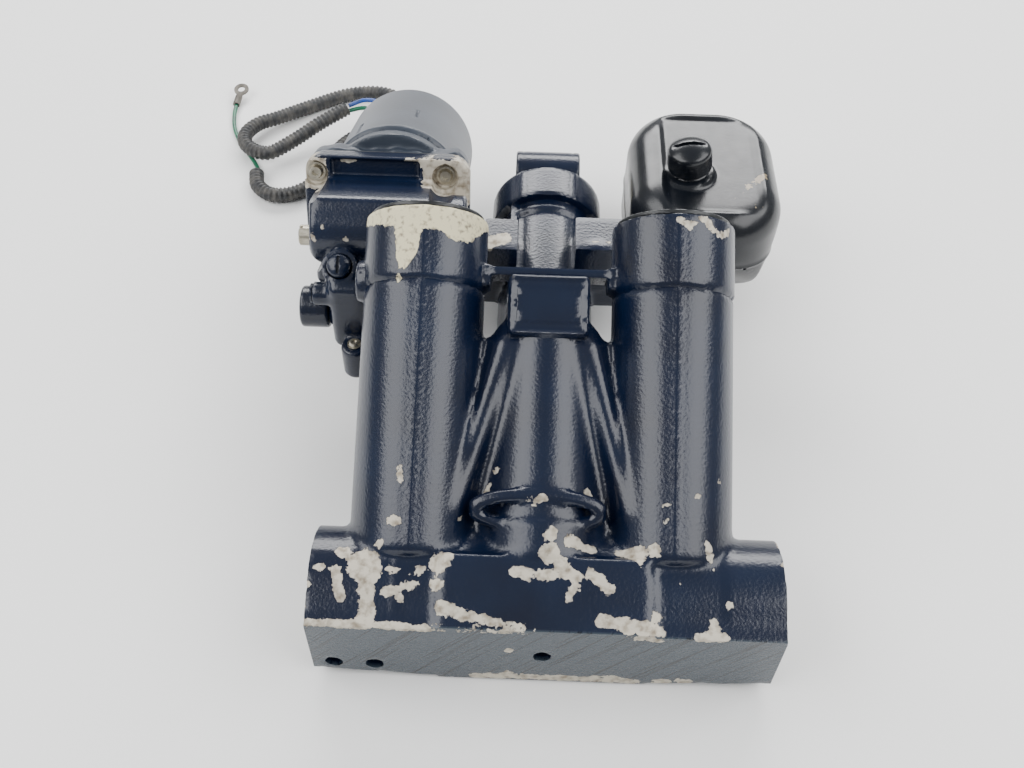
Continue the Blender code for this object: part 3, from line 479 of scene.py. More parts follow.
def contour(field, low, high, cell):
    """Vertices and quads of the surface where the field is zero."""
    low = np.array(low, float)
    counts = tuple(int(math.ceil((high[i] - low[i]) / cell)) + 1 for i in range(3))
    values = sample(field, low, counts, cell)
    inside = values < 0
    # Where the grid's edges cross the surface, and which four cells share each edge
    cells = tuple(c - 1 for c in counts)
    crossings, owners, quads = [], [], []
    for axis in range(3):
        ahead = np.moveaxis(values, axis, 0)
        flags = np.moveaxis(inside, axis, 0)
        found = np.argwhere(flags[:-1] != flags[1:])
        other = [a for a in range(3) if a != axis]
        index = np.empty_like(found)
        index[:, axis], index[:, other[0]], index[:, other[1]] = found.T
        first = ahead[:-1][tuple(found.T)]
        second = ahead[1:][tuple(found.T)]
        points = low + cell * index
        points[:, axis] += cell * first / (first - second)
        around = []
        for a, b in ((-1, -1), (0, -1), (0, 0), (-1, 0)):
            near = index.copy()
            near[:, other[0]] += a
            near[:, other[1]] += b
            around.append(np.ravel_multi_index(near.T, cells))
        around = np.stack(around, 1)
        flip = (first > 0) ^ (axis == 1)
        quads.append(np.where(flip[:, None], around[:, ::-1], around))
        crossings.append(np.repeat(points, 4, axis=0))
        owners.append(around.reshape(-1))
    crossings, owners, quads = np.concatenate(crossings), np.concatenate(owners), np.concatenate(quads)
    # One vertex a cell, where the planes at its crossings meet; the small term keeps a
    # flat cell's vertex in its middle
    normals = np.repeat(gradient(field, crossings[::4]), 4, axis=0)
    keys, place = np.unique(owners, return_inverse=True)
    total = np.bincount(place)[:, None]
    middle = np.stack([np.bincount(place, crossings[:, i]) for i in range(3)], 1) / total
    offset = np.einsum("ij,ij->i", normals, crossings - middle[place])
    pull = np.stack([np.bincount(place, normals[:, i] * offset) for i in range(3)], 1)
    form = np.empty((len(keys), 3, 3))
    for i in range(3):
        for j in range(3):
            form[:, i, j] = np.bincount(place, normals[:, i] * normals[:, j])
    form += np.eye(3) * 0.04
    shift = np.linalg.solve(form, pull[:, :, None])[:, :, 0]
    corner = low + cell * np.stack(np.unravel_index(keys, cells), 1)
    vertices = np.clip(middle + shift, corner, corner + cell)
    # Two steps down the slope put each vertex on the surface itself
    for turn in range(2):
        vertices -= gradient(field, vertices) * np.clip(field(vertices), -0.3, 0.3)[:, None] * 0.9
    return vertices, np.searchsorted(keys, quads)


def shaped(name, field, low, high, cell):
    """A field's surface as an object, in the frame's metres."""
    vertices, quads = contour(field, low, high, cell)
    mesh = bpy.data.meshes.new(name)
    mesh.from_pydata((vertices + (0.0, FRONT, 0.0)) * MM, [], quads.tolist())
    mesh.update()
    print(name, len(quads), "quads")
    return finish_mesh(add_object(name, mesh))


def finish_mesh(obj, angle=38.0):
    """Smooth shading that stays crisp over sharp edges."""
    obj.data.shade_smooth()
    obj.data.set_sharp_from_angle(angle=math.radians(angle))
    return obj


print("contouring ready")

# %% [markdown]
# ## The main casting
# The base tube carries the pivot pin and has one face milled flat. Two trim barrels rise
# from it at thirty-one degrees. The tilt barrel lies between them under a cone-shaped
# hood, and ribs tie the hood to the barrels. Mould parting lines run along each barrel.


# %% Field of the main casting
def trim_place(x, y, z, side):
    """Across, outward and along coordinates of one trim barrel."""
    dy, dz = y - BASE_RADIUS, z - BASE_RADIUS
    along = dy * math.cos(TRIM_ANGLE) + dz * math.sin(TRIM_ANGLE)
    out = dz * math.cos(TRIM_ANGLE) - dy * math.sin(TRIM_ANGLE)
    return x - side * TRIM_X, out, along


def tilt_place(x, y, z):
    """Across, outward and along coordinates of the tilt barrel."""
    dy, dz = y - BASE_RADIUS, z - BASE_RADIUS
    along = dy * math.cos(TILT_SLOPE) + dz * math.sin(TILT_SLOPE)
    return x, dz * math.cos(TILT_SLOPE) - dy * math.sin(TILT_SLOPE), along


def base_field(x, y, z):
    """Base tube, its milled nose and the rings that mould halves left round it."""
    around = np.hypot(y - BASE_RADIUS, z - BASE_RADIUS)
    ridge = 0.45 * np.exp(-((x + 58.0) / 1.3) ** 2) + 0.5 / (1.0 + np.exp(-(x - 74.0) / 0.5))
    tube = around - BASE_RADIUS + 0.5 - ridge
    bottom = 3.0 + np.maximum(np.abs(x - BASE_MIDDLE) - 46.0, 0.0) * 0.07
    below = np.maximum.reduce([bottom - z, y - 28.0, half_plane(y, z, (26.0, -3.0), (0.0, 2.5))])
    ledge = soft_max(below, half_plane(y, z, (0.0, 43.6), (12.0, 46.6)), 1.2)
    swell = np.maximum(below, np.abs(x - 2.0) - 42.0)
    swell = soft_max(swell, half_plane(y, z, (0.0, 44.0), (16.0, 51.5)), 3.0)
    body = soft_min(soft_min(tube, ledge, 3.0), swell, 5.0)
    # Raised pad on the crown, with a ring cast on it
    crown = around - BASE_RADIUS - 0.9
    pad = np.maximum(crown, box_field(x, y, z, (-11.0, 20.3, 40.0), (14.0, 37.0, 60.0), 1.2))
    ring = 0.45 * np.exp(-((np.hypot(x - 2.0, y - 30.0) - 4.2) / 0.7) ** 2)
    return soft_min(body, pad - ring * (z > 45.0), 0.7)


def barrel_field(x, y, z, side):
    """One trim barrel with its collar, groove and parting ridge."""
    across, out, along = trim_place(x, y, z, side)
    around = np.hypot(across, out)
    ridge = 0.5 * np.exp(-((across + side * 1.0) / 1.5) ** 2) * (out > 0)
    groove = 1.1 * np.exp(-((along - 129.3) / 1.0) ** 2)
    wide = 0.55 / (1.0 + np.exp(-(along - 129.3) / 0.5))
    body = rod_field(around - ridge - wide + groove, along, 26.45, 2.0, TRIM_RIM, 0.9)
    return soft_max(body, 14.5 - along, 5.0)


def hood_field(x, y, z):
    """Cone between the trim barrels, with the disc it ends in, its ribs and crossbar."""
    dx, out, along = trim_place(x, y, z, 0)
    around = np.hypot(dx, out)
    cone = cone_field(around, along, 30.0, 131.5, 25.2, 17.4)
    disc = rod_field(around, along, 26.6, 16.0, 31.0, 2.2)
    body = soft_min(cone, disc, 2.0)
    web = box_field(dx, out, along, (-TRIM_X, -8.0, 10.0), (TRIM_X, 8.0, 108.0), 2.0)
    body = soft_min(body, web, 9.0)
    for sign in (-1, 1):
        rib = capsule(dx, out, along, (sign * 36.0, 14.0, 36.0), (sign * 18.0, 11.5, 104.0), 4.4)
        wall = capsule(dx, out, along, (sign * 36.0, 7.5, 36.0), (sign * 17.0, 5.5, 110.0), 4.4)
        body = soft_min(body, soft_min(rib, wall, 4.0), 7.0)
    return body


def plate_field(x, y, z):
    """Blank pad with a raised rim, under the crossbar."""
    dx, out, along = trim_place(x, y, z, 0)
    pad = box_field(dx, out, along, (-17.2, 4.0, 107.5), (17.2, 21.6, 134.0), 2.4)
    inner = box_field(dx, out, along, (-15.8, 20.0, 109.0), (15.8, 30.0, 132.8), 2.2)
    pad = np.maximum(pad, -inner)
    step = box_field(dx, out, along, (-13.2, 14.0, 113.5), (13.2, 20.5, 128.4), 0.4)
    return np.minimum(pad, step)


def crossbar_field(x, y, z):
    """Thin bar between the trim barrels, with a post at each end."""
    dx, out, along = trim_place(x, y, z, 0)
    bar = box_field(dx, out, along, (-30.0, -4.5, 136.4), (30.0, 9.0, 140.2), 1.0)
    for sign in (-1, 1):
        post = box_field(dx, out, along, (sign * 27.2 - 1.8, -4.0, 131.0), (sign * 27.2 + 1.8, 10.2, 140.9), 1.5)
        bar = soft_min(bar, post, 1.5)
    return bar


def tilt_field(x, y, z):
    """Tilt barrel with its larger head and the mould lines beside its crown."""
    across, out, along = tilt_place(x, y, z)
    around = np.hypot(across, out)
    lines = 0.5 * (np.exp(-((across + 14.5) / 0.9) ** 2) + np.exp(-((across - 14.5) / 0.9) ** 2)) * (out > 0)
    barrel = rod_field(around - lines, along, 24.0, 2.0, 222.0, 1.0)
    head = rod_field(around - lines, along, 29.7, 220.5, TILT_RIM, 1.2)
    waist = rod_field(around, along, 25.6, 213.5, 222.0, 1.5)
    return np.minimum(soft_min(barrel, waist, 2.0), head)


def casting_field(points):
    """Everything that is cast in one piece, faced and bored."""
    x, y, z = points.T
    body = base_field(x, y, z)
    hood = hood_field(x, y, z)
    trims = np.minimum(barrel_field(x, y, z, -1), barrel_field(x, y, z, 1))
    upper = soft_min(trims, hood, 4.0)
    upper = soft_min(upper, crossbar_field(x, y, z), 1.6)
    upper = soft_min(upper, plate_field(x, y, z), 0.9)
    body = soft_min(body, upper, 3.2)
    tilt = tilt_field(x, y, z)
    spine = box_field(x, y, z, (-7.0, 75.0, 30.0), (7.0, 128.0, 75.0), 2.0)
    body = soft_min(body, soft_min(tilt, spine, 5.0), 5.0)
    gallery = box_field(x, y, z, (-19.5, 120.0, 34.0), (-15.8, 258.0, 51.3), 1.0)
    left = box_field(x, y, z, (-31.7, 196.0, 28.0), (-15.0, 218.8, 66.0), 0.8)
    ear = box_field(x, y, z, (14.0, 198.0, 26.0), (42.3, 221.8, 66.0), 0.8)
    boss = capsule(x, y, z, (25.0, 201.0, 44.0), (25.0, 201.0, 59.0), 7.5)
    body = soft_min(body, soft_min(gallery, soft_min(left, ear, 0.5), 1.0), 2.2)
    body = soft_min(body, np.maximum(boss, 198.0 - y), 1.5)
    # Oval collar at the hood's foot, an ellipse in a leaning plane
    dy, dz = y - 45.0, z - 62.0
    in_plane, off_plane = 0.607 * dy + 0.794 * dz, -0.794 * dy + 0.607 * dz
    oval = np.hypot((x + 2.0) / 25.0, in_plane / 6.8)
    slope = np.hypot((x + 2.0) / 625.0, in_plane / 46.2)
    collar = np.hypot(oval * (oval - 1.0) / np.maximum(slope, 0.004), off_plane + 1.0) - 3.0
    body = soft_min(body, collar, 1.6)
    port = rod_field(from_axis(y, z, PORT_YZ), -x, 9.0, 66.0, 84.0, 1.5)
    body = soft_min(body, port, 1.2)
    # Faced ends and front, then the bores
    body = np.maximum(body, np.maximum(BASE_LEFT - x, x - BASE_RIGHT))
    body = np.maximum(body, -y)
    body = np.maximum(body, 0.6 - z)
    return np.maximum(body, bores(x, y, z))


def bores(x, y, z):
    """What the pin bore, the bush pockets, the ram bores and the tapped holes take away."""
    around = np.hypot(y - BASE_RADIUS, z - BASE_RADIUS)
    depth = np.minimum(x - BASE_LEFT, BASE_RIGHT - x)
    gone = [around - 12.0, np.maximum(around - 14.8, depth - 24.3)]
    for hole in ((2.0, 23.5), (-84.5, 12.0), (-67.5, 11.5)):
        gone.append(rod_field(from_axis(x, z, hole), y, 3.7, -9.0, 8.0, 0.3))
    for side in (-1, 1):
        across, out, along = trim_place(x, y, z, side)
        gone.append(rod_field(np.hypot(across, out), along, 21.2, 41.0, 170.0, 0.3))
    across, out, along = tilt_place(x, y, z)
    gone.append(rod_field(np.hypot(across, out), along, 16.7, 45.0, 250.0, 0.3))
    gone.append(rod_field(from_axis(y, z, PORT_YZ), -x, 2.5, 76.0, 90.0, 0.3))
    return -np.minimum.reduce(gone)


casting = shaped("casting_shell", casting_field, (-99.0, -2.0, -2.0), (99.0, 272.0, 134.0), 1.75)
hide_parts("main_casting")
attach(casting, "unit")

# %% [markdown]
# ## Gloss enamel on cast aluminium
# The castings wear a deep navy enamel, sprayed thick enough to show orange peel. Where it
# has been knocked off, the aluminium is dull and beige from oxide, and round one rim the
# cream primer still holds. Each vertex stores how deep it lies inside a worn spot, and
# the shader roughens that outline with noise, so an edge is ragged and crisp at any mesh
# size.

# %% Wear stored on vertices
WEAR_DEPTH = 10.0


def wear(obj, name, distance):
    """Store a signed distance to worn spots as a value that passes WEAR_DEPTH inside them."""
    worn = np.clip(WEAR_DEPTH - distance, 0.0, 2 * WEAR_DEPTH)
    layer = obj.data.attributes.new(name, 'FLOAT', 'POINT')
    layer.data.foreach_set("value", worn.astype(np.float32))
    print(obj.name, name, "covers", int((distance < 0).sum()), "of", len(worn), "vertices")


def places(obj):
    """Vertex places of a piece, in millimetres from the front face."""
    flat = np.empty(len(obj.data.vertices) * 3, np.float32)
    obj.data.vertices.foreach_get("co", flat)
    return flat.reshape(-1, 3).astype(float) / MM - (0.0, FRONT, 0.0)


def spots(points, marks):
    """Distance to the nearest of many round or long marks: (start, end or None, radius)."""
    x, y, z = points.T
    return np.minimum.reduce([capsule(x, y, z, start, end or start, radius) for start, end, radius in marks])


print("a spot is worn where its stored value passes", WEAR_DEPTH)


# %% Enamel
def ragged(tree, attribute, coarse_mm, fine_mm, coarse, fine):
    """A mask that is one inside a worn spot, with a ragged outline."""
    depth = node(tree, "ShaderNodeAttribute", out="Fac", attribute_name=attribute)
    wide = node(tree, "ShaderNodeMath", {0: grain(tree, coarse_mm, detail=1.0), 1: 0.5}, operation='SUBTRACT')
    small = node(tree, "ShaderNodeMath", {0: grain(tree, fine_mm, detail=2.0), 1: 0.5}, operation='SUBTRACT')
    depth = node(tree, "ShaderNodeMath", {0: wide, 1: coarse, 2: depth}, operation='MULTIPLY_ADD')
    depth = node(tree, "ShaderNodeMath", {0: small, 1: fine, 2: depth}, operation='MULTIPLY_ADD')
    return node(tree, "ShaderNodeMapRange", {"Value": depth, "From Min": WEAR_DEPTH - 0.12,
                                             "From Max": WEAR_DEPTH + 0.12})


def enamel(name, dark, light, gloss, peel_mm, peel):
    """Sprayed enamel over primer over cast aluminium, worn through where stored, and on the stored milled face scored
    and lightened with a painted grey-blue reflection.
    """
    made, tree = material(name)
    shader = tree.nodes["Principled BSDF"]
    bare = ragged(tree, "bare", 5.0, 1.3, 4.0, 2.4)
    primer = ragged(tree, "primer", 4.0, 1.1, 3.0, 2.6)
    paint = mottled(tree, 30.0, 3.0, 0.3, 0.7, dark, light)
    cream = mottled(tree, 2.2, 4.0, 0.52, 0.72, "D8CFAC", "857B66")
    metal = mottled(tree, 3.5, 4.0, 0.45, 0.7, "C6BFB0", "857A6A")
    milled_scores_and_reflection = node(tree, "ShaderNodeAttribute", out="Fac", attribute_name="milled_scores_and_reflection")
    lines = grain(tree, 0.8, (1.0, 0.3, 0.02), detail=2.0, turn=(0.0, math.radians(40.0), 0.0))
    lines = node(tree, "ShaderNodeMapRange", {"Value": lines, "From Min": 0.57, "From Max": 0.66})
    # The milled face's grey-blue is a painted reflection of the pale table; the dark lines across it are score marks.
    face = node(tree, "ShaderNodeMix", {0: lines, 6: "333D46", 7: "0B1117"}, out=2, data_type='RGBA')
    paint = node(tree, "ShaderNodeMix", {0: milled_scores_and_reflection, 6: paint, 7: face}, out=2, data_type='RGBA')
    colour = node(tree, "ShaderNodeMix", {0: primer, 6: paint, 7: cream}, out=2, data_type='RGBA')
    colour = node(tree, "ShaderNodeMix", {0: bare, 6: colour, 7: metal}, out=2, data_type='RGBA')
    gone = node(tree, "ShaderNodeMath", {0: bare, 1: primer}, operation='MAXIMUM')
    rough = node(tree, "ShaderNodeMapRange", {"Value": gone, "To Min": gloss, "To Max": 0.62})
    shine = node(tree, "ShaderNodeMapRange", {"Value": bare, "To Min": 0.0, "To Max": 0.45})
    skin = node(tree, "ShaderNodeMath", {0: grain(tree, peel_mm, detail=1.0), 1: peel}, operation='MULTIPLY')
    height = node(tree, "ShaderNodeMath", {0: gone, 1: -1.0, 2: skin}, operation='MULTIPLY_ADD')
    bump = node(tree, "ShaderNodeBump", {"Height": height, "Strength": 1.0, "Distance": 0.13 * MM})
    connect(tree, shader, {"Base Color": colour, "Roughness": rough, "Metallic": shine, "Normal": bump,
                           "IOR": 1.5, "Specular IOR Level": 0.55})
    return made


# Navy gloss enamel: near black in the shade, blue-grey where it mirrors the lights
navy_enamel = enamel("navy_gloss_enamel", "040D22", "08172F", 0.25, 1.3, 0.85)
# The same enamel sprayed on the drawn steel can and its flange, with its colour made greyer to paint in the
# reflection of the sky
reflection_grey_enamel = enamel("painted_reflection_grey_enamel", "262D38", "343C48", 0.4, 2.0, 0.35)
casting.data.materials.append(navy_enamel)
print("enamels", navy_enamel.name, reflection_grey_enamel.name)

# %% [markdown]
# Each worn spot on the casting is a short bar or a dot with a radius, in millimetres.

# %% Chips on the casting
CHIPS = [
    ((-70.8, 22.5, 52.2), None, 7.2), ((-79.6, 28.1, 52.6), None, 3.3), ((-82, 20.9, 51.9), (-79.7, 10, 47.2), 2.0),
    ((-69.7, 16.7, 50.6), (-68.6, 2.4, 44.2), 3.5), ((-65.3, 30.6, 57.1), None, 2.0),
    ((-62.1, 22, 53.7), (-51.1, 19.7, 53.3), 1.7), ((-62, 13.3, 49.1), (-50.2, 15.8, 51.3), 1.9),
    ((-55.9, 11.3, 48), None, 2.0), ((-40.9, 24.5, 53.6), None, 4.3), ((-37, 26.2, 56.3), None, 2.2),
    ((-41.6, 15.7, 50.4), None, 2.5), ((-48, 21.3, 53.6), None, 2.5), ((-88.7, 21.4, 52), None, 1.9),
    ((-93, 14.8, 49.8), None, 1.4), ((-50.9, 23.8, 55.5), None, 1.1), ((-79.5, 40, 49), None, 1.1),
    ((-60.2, 37.4, 63.2), None, 2.8), ((-58.7, 55.8, 74.6), (-58.4, 51.5, 72), 1.4), ((-75, 62.8, 67.9), None, 0.8),
    ((-19.2, 63.1, 64.5), None, 1.6), ((-21.4, 58.9, 59), (-25.8, 55.6, 53.6), 1.1),
    ((-5.7, 48.1, 67.3), (1, 48.3, 68.1), 1.7), ((-4, 45.6, 66.4), None, 1.3), ((-33.7, 44, 57), None, 1.0),
    ((3.4, 34.4, 62.1), None, 3.0), ((10, 33.8, 59.7), (21.2, 33.7, 51.9), 1.9),
    ((3.5, 28, 58.6), None, 4.4), ((-4.0, 27.0, 54.0), None, 1.4),
    ((8.3, 24.1, 55.3), None, 3.2), ((-10.7, 21, 53.9), (12.9, 20.6, 53.7), 2.1),
    ((15.7, 20.7, 53.8), (11.2, 11.6, 49.7), 1.7), ((19.6, 22.1, 54.4), (27.7, 16.3, 51.9), 2.3),
    ((31.5, 33.2, 52.0), (36.5, 31.5, 53.5), 2.0), ((39.2, 30.8, 54.7), None, 4.2), ((45.5, 30.9, 58.2), None, 2.8),
    ((40.1, 26.4, 56.4), None, 1.7), ((55, 23.9, 55.9), (56.7, 17.5, 52.3), 1.6),
    ((67.4, 34.3, 58.1), (69.8, 26.4, 53.2), 1.6), ((75.6, 12.5, 49.1), None, 1.9),
    ((25, 5.2, 46.6), (36, 3.5, 45.6), 2.9),
    ((36, 3.0, 45.6), (47, 2.6, 44.6), 3.0), ((46.4, 8.0, 46.4), None, 2.6), ((40, 0.0, 42.6), (47, 0.0, 41.8), 2.0),
    ((69.3, 5.5, 45.1), (68.5, 1.0, 43.8), 2.2), ((64.0, 0.7, 43.6), (73.0, 0.8, 43.4), 1.8),
    ((48.3, 45.5, 68.2), (51, 46.3, 68.8), 1.3), ((49.8, 40.7, 65.4), None, 1.5),
    ((18.5, 55.2, 62.1), (21.2, 51.7, 56.4), 1.6), ((62.9, 49.9, 69.9), None, 1.3), ((72, 58.6, 68.9), None, 1.0),
    ((-39.5, 8.2, 47.9), (-29, 5, 46.5), 2.8), ((-29, 5, 46.5), (-15.5, 2.6, 45.5), 2.0),
    ((-15.5, 2.6, 45.5), (-1.6, 1.6, 45.1), 1.2), ((-11.6, 0, 28.1), None, 1.8),
    ((-92.5, 1, 43.6), (-43, 0.6, 43.7), 1.7), ((-41, 1, 43.7), (-2, 0.4, 44.2), 1.3),
    ((-26, 0, 4.2), (10, 0, 4.4), 2.2), ((-12, 0, 7.0), None, 2.2), ((12, 0, 4.8), (42, 0, 3.8), 2.3),
    ((25, 0, 7.0), (33, 0, 6.6), 1.8), ((50, 0, 4.6), (64, 0, 5.5), 1.7), ((60, 0, 6.8), None, 1.6),
    ((-93.5, 8, 44), (-93.5, 4, 20), 1.2), ((98.5, 30, 52.5), (98.5, 45, 45), 0.9),
    ((53.6, 147.9, 131.6), (57.9, 146, 129.6), 1.4), ((57.9, 146, 129.6), (63.5, 149.8, 130.3), 1.2),
    ((65.4, 149.3, 129.2), (70.6, 146.6, 124), 1.5), ((70.6, 146.6, 124), (76.9, 153, 120.1), 1.2),
    ((-29.0, 200.0, 66.0), (-22.0, 204.0, 66.0), 4.2), ((22.0, 203.0, 66.2), (40.0, 205.0, 66.0), 0.6),
]
# Where the primer stops below the left rim: distance across and distance along the barrel
PRIMER_EDGE = [(-28, 158.5), (-24, 155), (-12.1, 152), (-9.8, 133.4), (-6.2, 132), (-1.2, 141), (-0.4, 150.5),
               (5.9, 150), (13.9, 146.5), (20, 147.3), (26.2, 156), (28, 158.5)]

casting_points = places(casting)
wear(casting, "bare", spots(casting_points, CHIPS))
across, out, along = trim_place(*casting_points.T, -1)
edge = np.interp(across, [a for a, s in PRIMER_EDGE], [s for a, s in PRIMER_EDGE])
edge = np.where(out > -4.0, edge, 158.5)
around = np.hypot(across, out)
band = np.maximum(edge - along, np.abs(around - 26.0) - 3.2)
# Mask of the milled front face, which gets score lines and a painted reflection in the enamel.
milled_scores_and_reflection = casting.data.attributes.new("milled_scores_and_reflection", 'FLOAT', 'POINT')
milled_scores_and_reflection.data.foreach_set("value", (casting_points[:, 1] < 0.25).astype(np.float32))
dot = np.sqrt((across + 8.8) ** 2 + (along - 129.0) ** 2 + np.minimum(out, 0.0) ** 2) - 1.5
wear(casting, "primer", np.minimum(band, dot))

# %% [markdown]
# ## Pump manifold
# The block under the motor holds the gear pump and the valves. Its two ears take the
# motor screws and stand proud of a shallow panel between two ridges. A thick barrel for
# the release valve runs across it, with smaller barrels and bosses below.


# %% Field of the manifold
def motor_place(x, y, z):
    """Sideways, height and along coordinates of the motor's axis."""
    dy, dz = y - MOTOR_MIDDLE[1], z - MOTOR_MIDDLE[2]
    along = dy * math.cos(MOTOR_LEAN) - dz * math.sin(MOTOR_LEAN)
    height = dy * math.sin(MOTOR_LEAN) + dz * math.cos(MOTOR_LEAN)
    return x - MOTOR_MIDDLE[0], height, along


def slab(side, height, along, low, high, corner, edge):
    """Plate with a rounded outline, between two depths along the motor's axis."""
    dx = np.abs(side - (low[0] + high[0]) / 2) - (high[0] - low[0]) / 2 + corner
    dh = np.abs(height - (low[1] + high[1]) / 2) - (high[1] - low[1]) / 2 + corner
    outline = np.hypot(np.maximum(dx, 0), np.maximum(dh, 0)) + np.minimum(np.maximum(dx, dh), 0) - corner
    return rounded(outline, np.maximum(low[2] - along, along - high[2]), edge)


def relief_place(x, y, z):
    """Sideways, lower and upward coordinates of the leaning relief plug."""
    dy, dz = y - RELIEF_BASE[1], z - RELIEF_BASE[2]
    up = dz * math.cos(RELIEF_LEAN) - dy * math.sin(RELIEF_LEAN)
    return x - RELIEF_BASE[0], dy * math.cos(RELIEF_LEAN) + dz * math.sin(RELIEF_LEAN), up


SCREWS = [(x, height) for x in (-36.0, 28.0) for height in (18.0, -18.0)]


def manifold_field(points):
    """Plate and block under the motor, with the valve barrels and their bores."""
    x, y, z = points.T
    side, height, along = motor_place(x, y, z)
    body = slab(side, height, along, (-41.5, -30.0, -10.0), (40.0, 27.0, 0.0), 9.0, 1.2)
    panel = box_field(side, height, along, (-28.5, 16.2, -16.0), (15.5, 25.4, -6.6), 1.6)
    body = soft_max(body, -panel, 1.0)
    block = box_field(side, height, along, (-33.0, -30.0, -38.0), (26.0, 17.5, -4.0), 4.0)
    roof = half_plane(along, height, (-9.6, 15.6), (-38.0, 14.6))
    block = soft_max(block, -roof, 3.0)
    body = soft_min(body, block, 2.0)
    barrel = rod_field(np.hypot(y - 195.0, z - 78.0), x, 17.0, -113.5, -40.0, 2.2)
    body = soft_min(body, barrel, 5.0)
    bridge = box_field(x, y, z, (-72.0, 184.0, 36.0), (-32.4, 206.0, 66.0), 1.2)
    web = box_field(x, y, z, (-104.0, 158.0, 30.0), (-86.0, 212.0, 72.0), 4.5)
    body = soft_min(soft_min(body, bridge, 2.0), web, 4.0)
    spool = rod_field(from_axis(y, z, SPOOL_YZ), x, 5.6, -111.5, -86.2, 0.8)
    check = rod_field(from_axis(y, z, CHECK_YZ), x, 8.6, -106.0, -88.0, 1.0)
    lobe = rod_field(from_axis(x, y, LOBE_XY), z, 6.6, 22.0, 40.0, 1.5)
    body = soft_min(soft_min(body, spool, 2.0), soft_min(check, lobe, 3.0), 2.5)
    collar = rod_field(from_axis(y, z, RELEASE_YZ), x, 9.2, -114.6, -108.0, 0.6)
    body = soft_min(body, collar, 1.0)
    shift, low, up = relief_place(x, y, z)
    off = np.hypot(shift, low)
    body = soft_min(body, rod_field(off, up, 8.6, -4.0, 14.2, 0.8), 2.5)
    gone = [rod_field(off, up, 6.3, 3.6, 30.0, 0.2),
            rod_field(from_axis(y, z, RELEASE_YZ), x, 5.3, -130.0, -100.0, 0.2),
            rod_field(from_axis(y, z, SPOOL_YZ), x, 3.4, -130.0, -90.0, 0.2),
            rod_field(from_axis(y, z, CHECK_YZ), x, 6.0, -130.0, -97.0, 0.2),
            rod_field(from_axis(x, y, LOBE_XY), z, 2.0, 34.0, 60.0, 0.2),
            box_field(side, height, along, (-13.0, -26.5, -34.0), (13.0, 13.0, 6.0), 1.0)]
    for screw in SCREWS:
        away = from_axis(side, height, screw)
        gone.append(rod_field(away, along, 2.8, -14.0, 6.0, 0.2))
        gone.append(rod_field(away, -along, 6.5, 5.6, 40.0, 0.5))
    return np.maximum(body, -np.minimum.reduce(gone))


manifold = shaped("manifold_casting", manifold_field, (-123.0, 142.0, 18.0), (-30.0, 240.0, 104.0), 1.2)
manifold.data.materials.append(navy_enamel)
points = places(manifold)
side, height, along = motor_place(*points.T)
front = along + 2.0
left_ear = np.maximum(box_field(side, height, along, (-46, 10.5, -20), (-30.6, 26.0, 5), 1.0), front)
right_ear = np.maximum(box_field(side, height, along, (17, 4.0, -20), (46, 26.4, 5), 1.0), front)
finger = np.maximum(capsule(side, height, along, (10, 24.6, -10), (20, 24.4, -10), 2.4), front)
foot = capsule(side, height, along, (10, 4, -12), (26, 3, -12), 2.6)
small = spots(points, [((-110.4, 182.0, 86.5), None, 1.6), ((-107.0, 183.0, 88.0), None, 1.3),
                       ((-95.5, 178.6, 84.8), None, 1.6), ((-113.8, 184.5, 82.0), None, 1.6),
                       ((-111.2, 180.5, 83.5), None, 1.8), ((-103.0, 224.8, 94.8), (-96.0, 224.8, 94.8), 0.8),
                       ((-42.0, 197.0, 66.0), (-34.0, 201.0, 66.0), 4.5)])
wear(manifold, "bare", np.minimum.reduce([left_ear, right_ear, finger, foot, small]))
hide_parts("pump_manifold")
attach(manifold, "unit")

# %% [markdown]
# ## Motor flange and can
# The motor is a drawn steel can, crimped to a cast end bell. The bell's upper edge is
# wavy where sealer was squeezed out, and the can has a pressed slot and a shallow step.


# %% Bell and can
def bell_field(points):
    """Cast end bell with its seat, its bores and a wavy upper edge."""
    side, height, along = motor_place(*points.T)
    wave = 0.7 * np.sin(side * 0.21 + 0.6) + 0.35 * np.sin(side * 0.63)
    body = slab(side, height - wave * (height > 0), along, (-41.5, -27.0, 1.8), (39.0, 26.6, 12.6), 9.0, 2.2)
    seat = rod_field(np.hypot(side, height), along, 34.4, 6.0, 13.9, 1.0)
    body = soft_min(body, seat, 1.5)
    gone = rod_field(np.hypot(side, height), along, 4.6, -5.0, 20.0, 0.2)
    gone = np.minimum(gone, rod_field(np.hypot(side, height), along, 9.4, 4.7, 20.0, 0.2))
    for screw in SCREWS:
        gone = np.minimum(gone, rod_field(from_axis(side, height, screw), along, 2.8, -5.0, 11.0, 0.2))
    return np.maximum(body, -gone)


def can_field(points):
    """Drawn can with its bead, pressed marks, seam and the hole for the leads."""
    side, height, along = motor_place(*points.T)
    around = np.hypot(side, height)
    turned = np.degrees(np.arctan2(side, height))
    bead = 0.5 * np.exp(-((along - 17.5) / 1.2) ** 2)
    press = 0.9 * np.exp(-((turned + 34.0) / 1.6) ** 4) * (np.abs(along - 32.0) < 9.0)
    notch = 0.8 * np.exp(-((turned - 14.0) / 1.3) ** 4) * (np.abs(along - 47.0) < 7.0)
    seam = 0.35 * np.exp(-((turned + 47.0) / 0.8) ** 2)
    outer = rod_field(around - bead + press + notch + seam, along, 35.4, 14.3, 100.0, 4.2)
    boss = rod_field(around, along, 11.6, 92.0, 100.0, 1.0)
    inner = rod_field(around, along, 33.5, -5.0, 97.0, 1.0)
    inner = np.maximum(inner, -rod_field(around, along, 11.5, 90.0, 110.0, 0.3))
    inner = np.minimum(inner, rod_field(around, along, 9.4, 60.0, 97.0, 0.3))
    hole = rod_field(np.hypot(side + 18.0, height - 3.0), along, 5.3, 80.0, 110.0, 0.3)
    return np.maximum(np.minimum(outer, boss), -np.minimum(inner, hole))


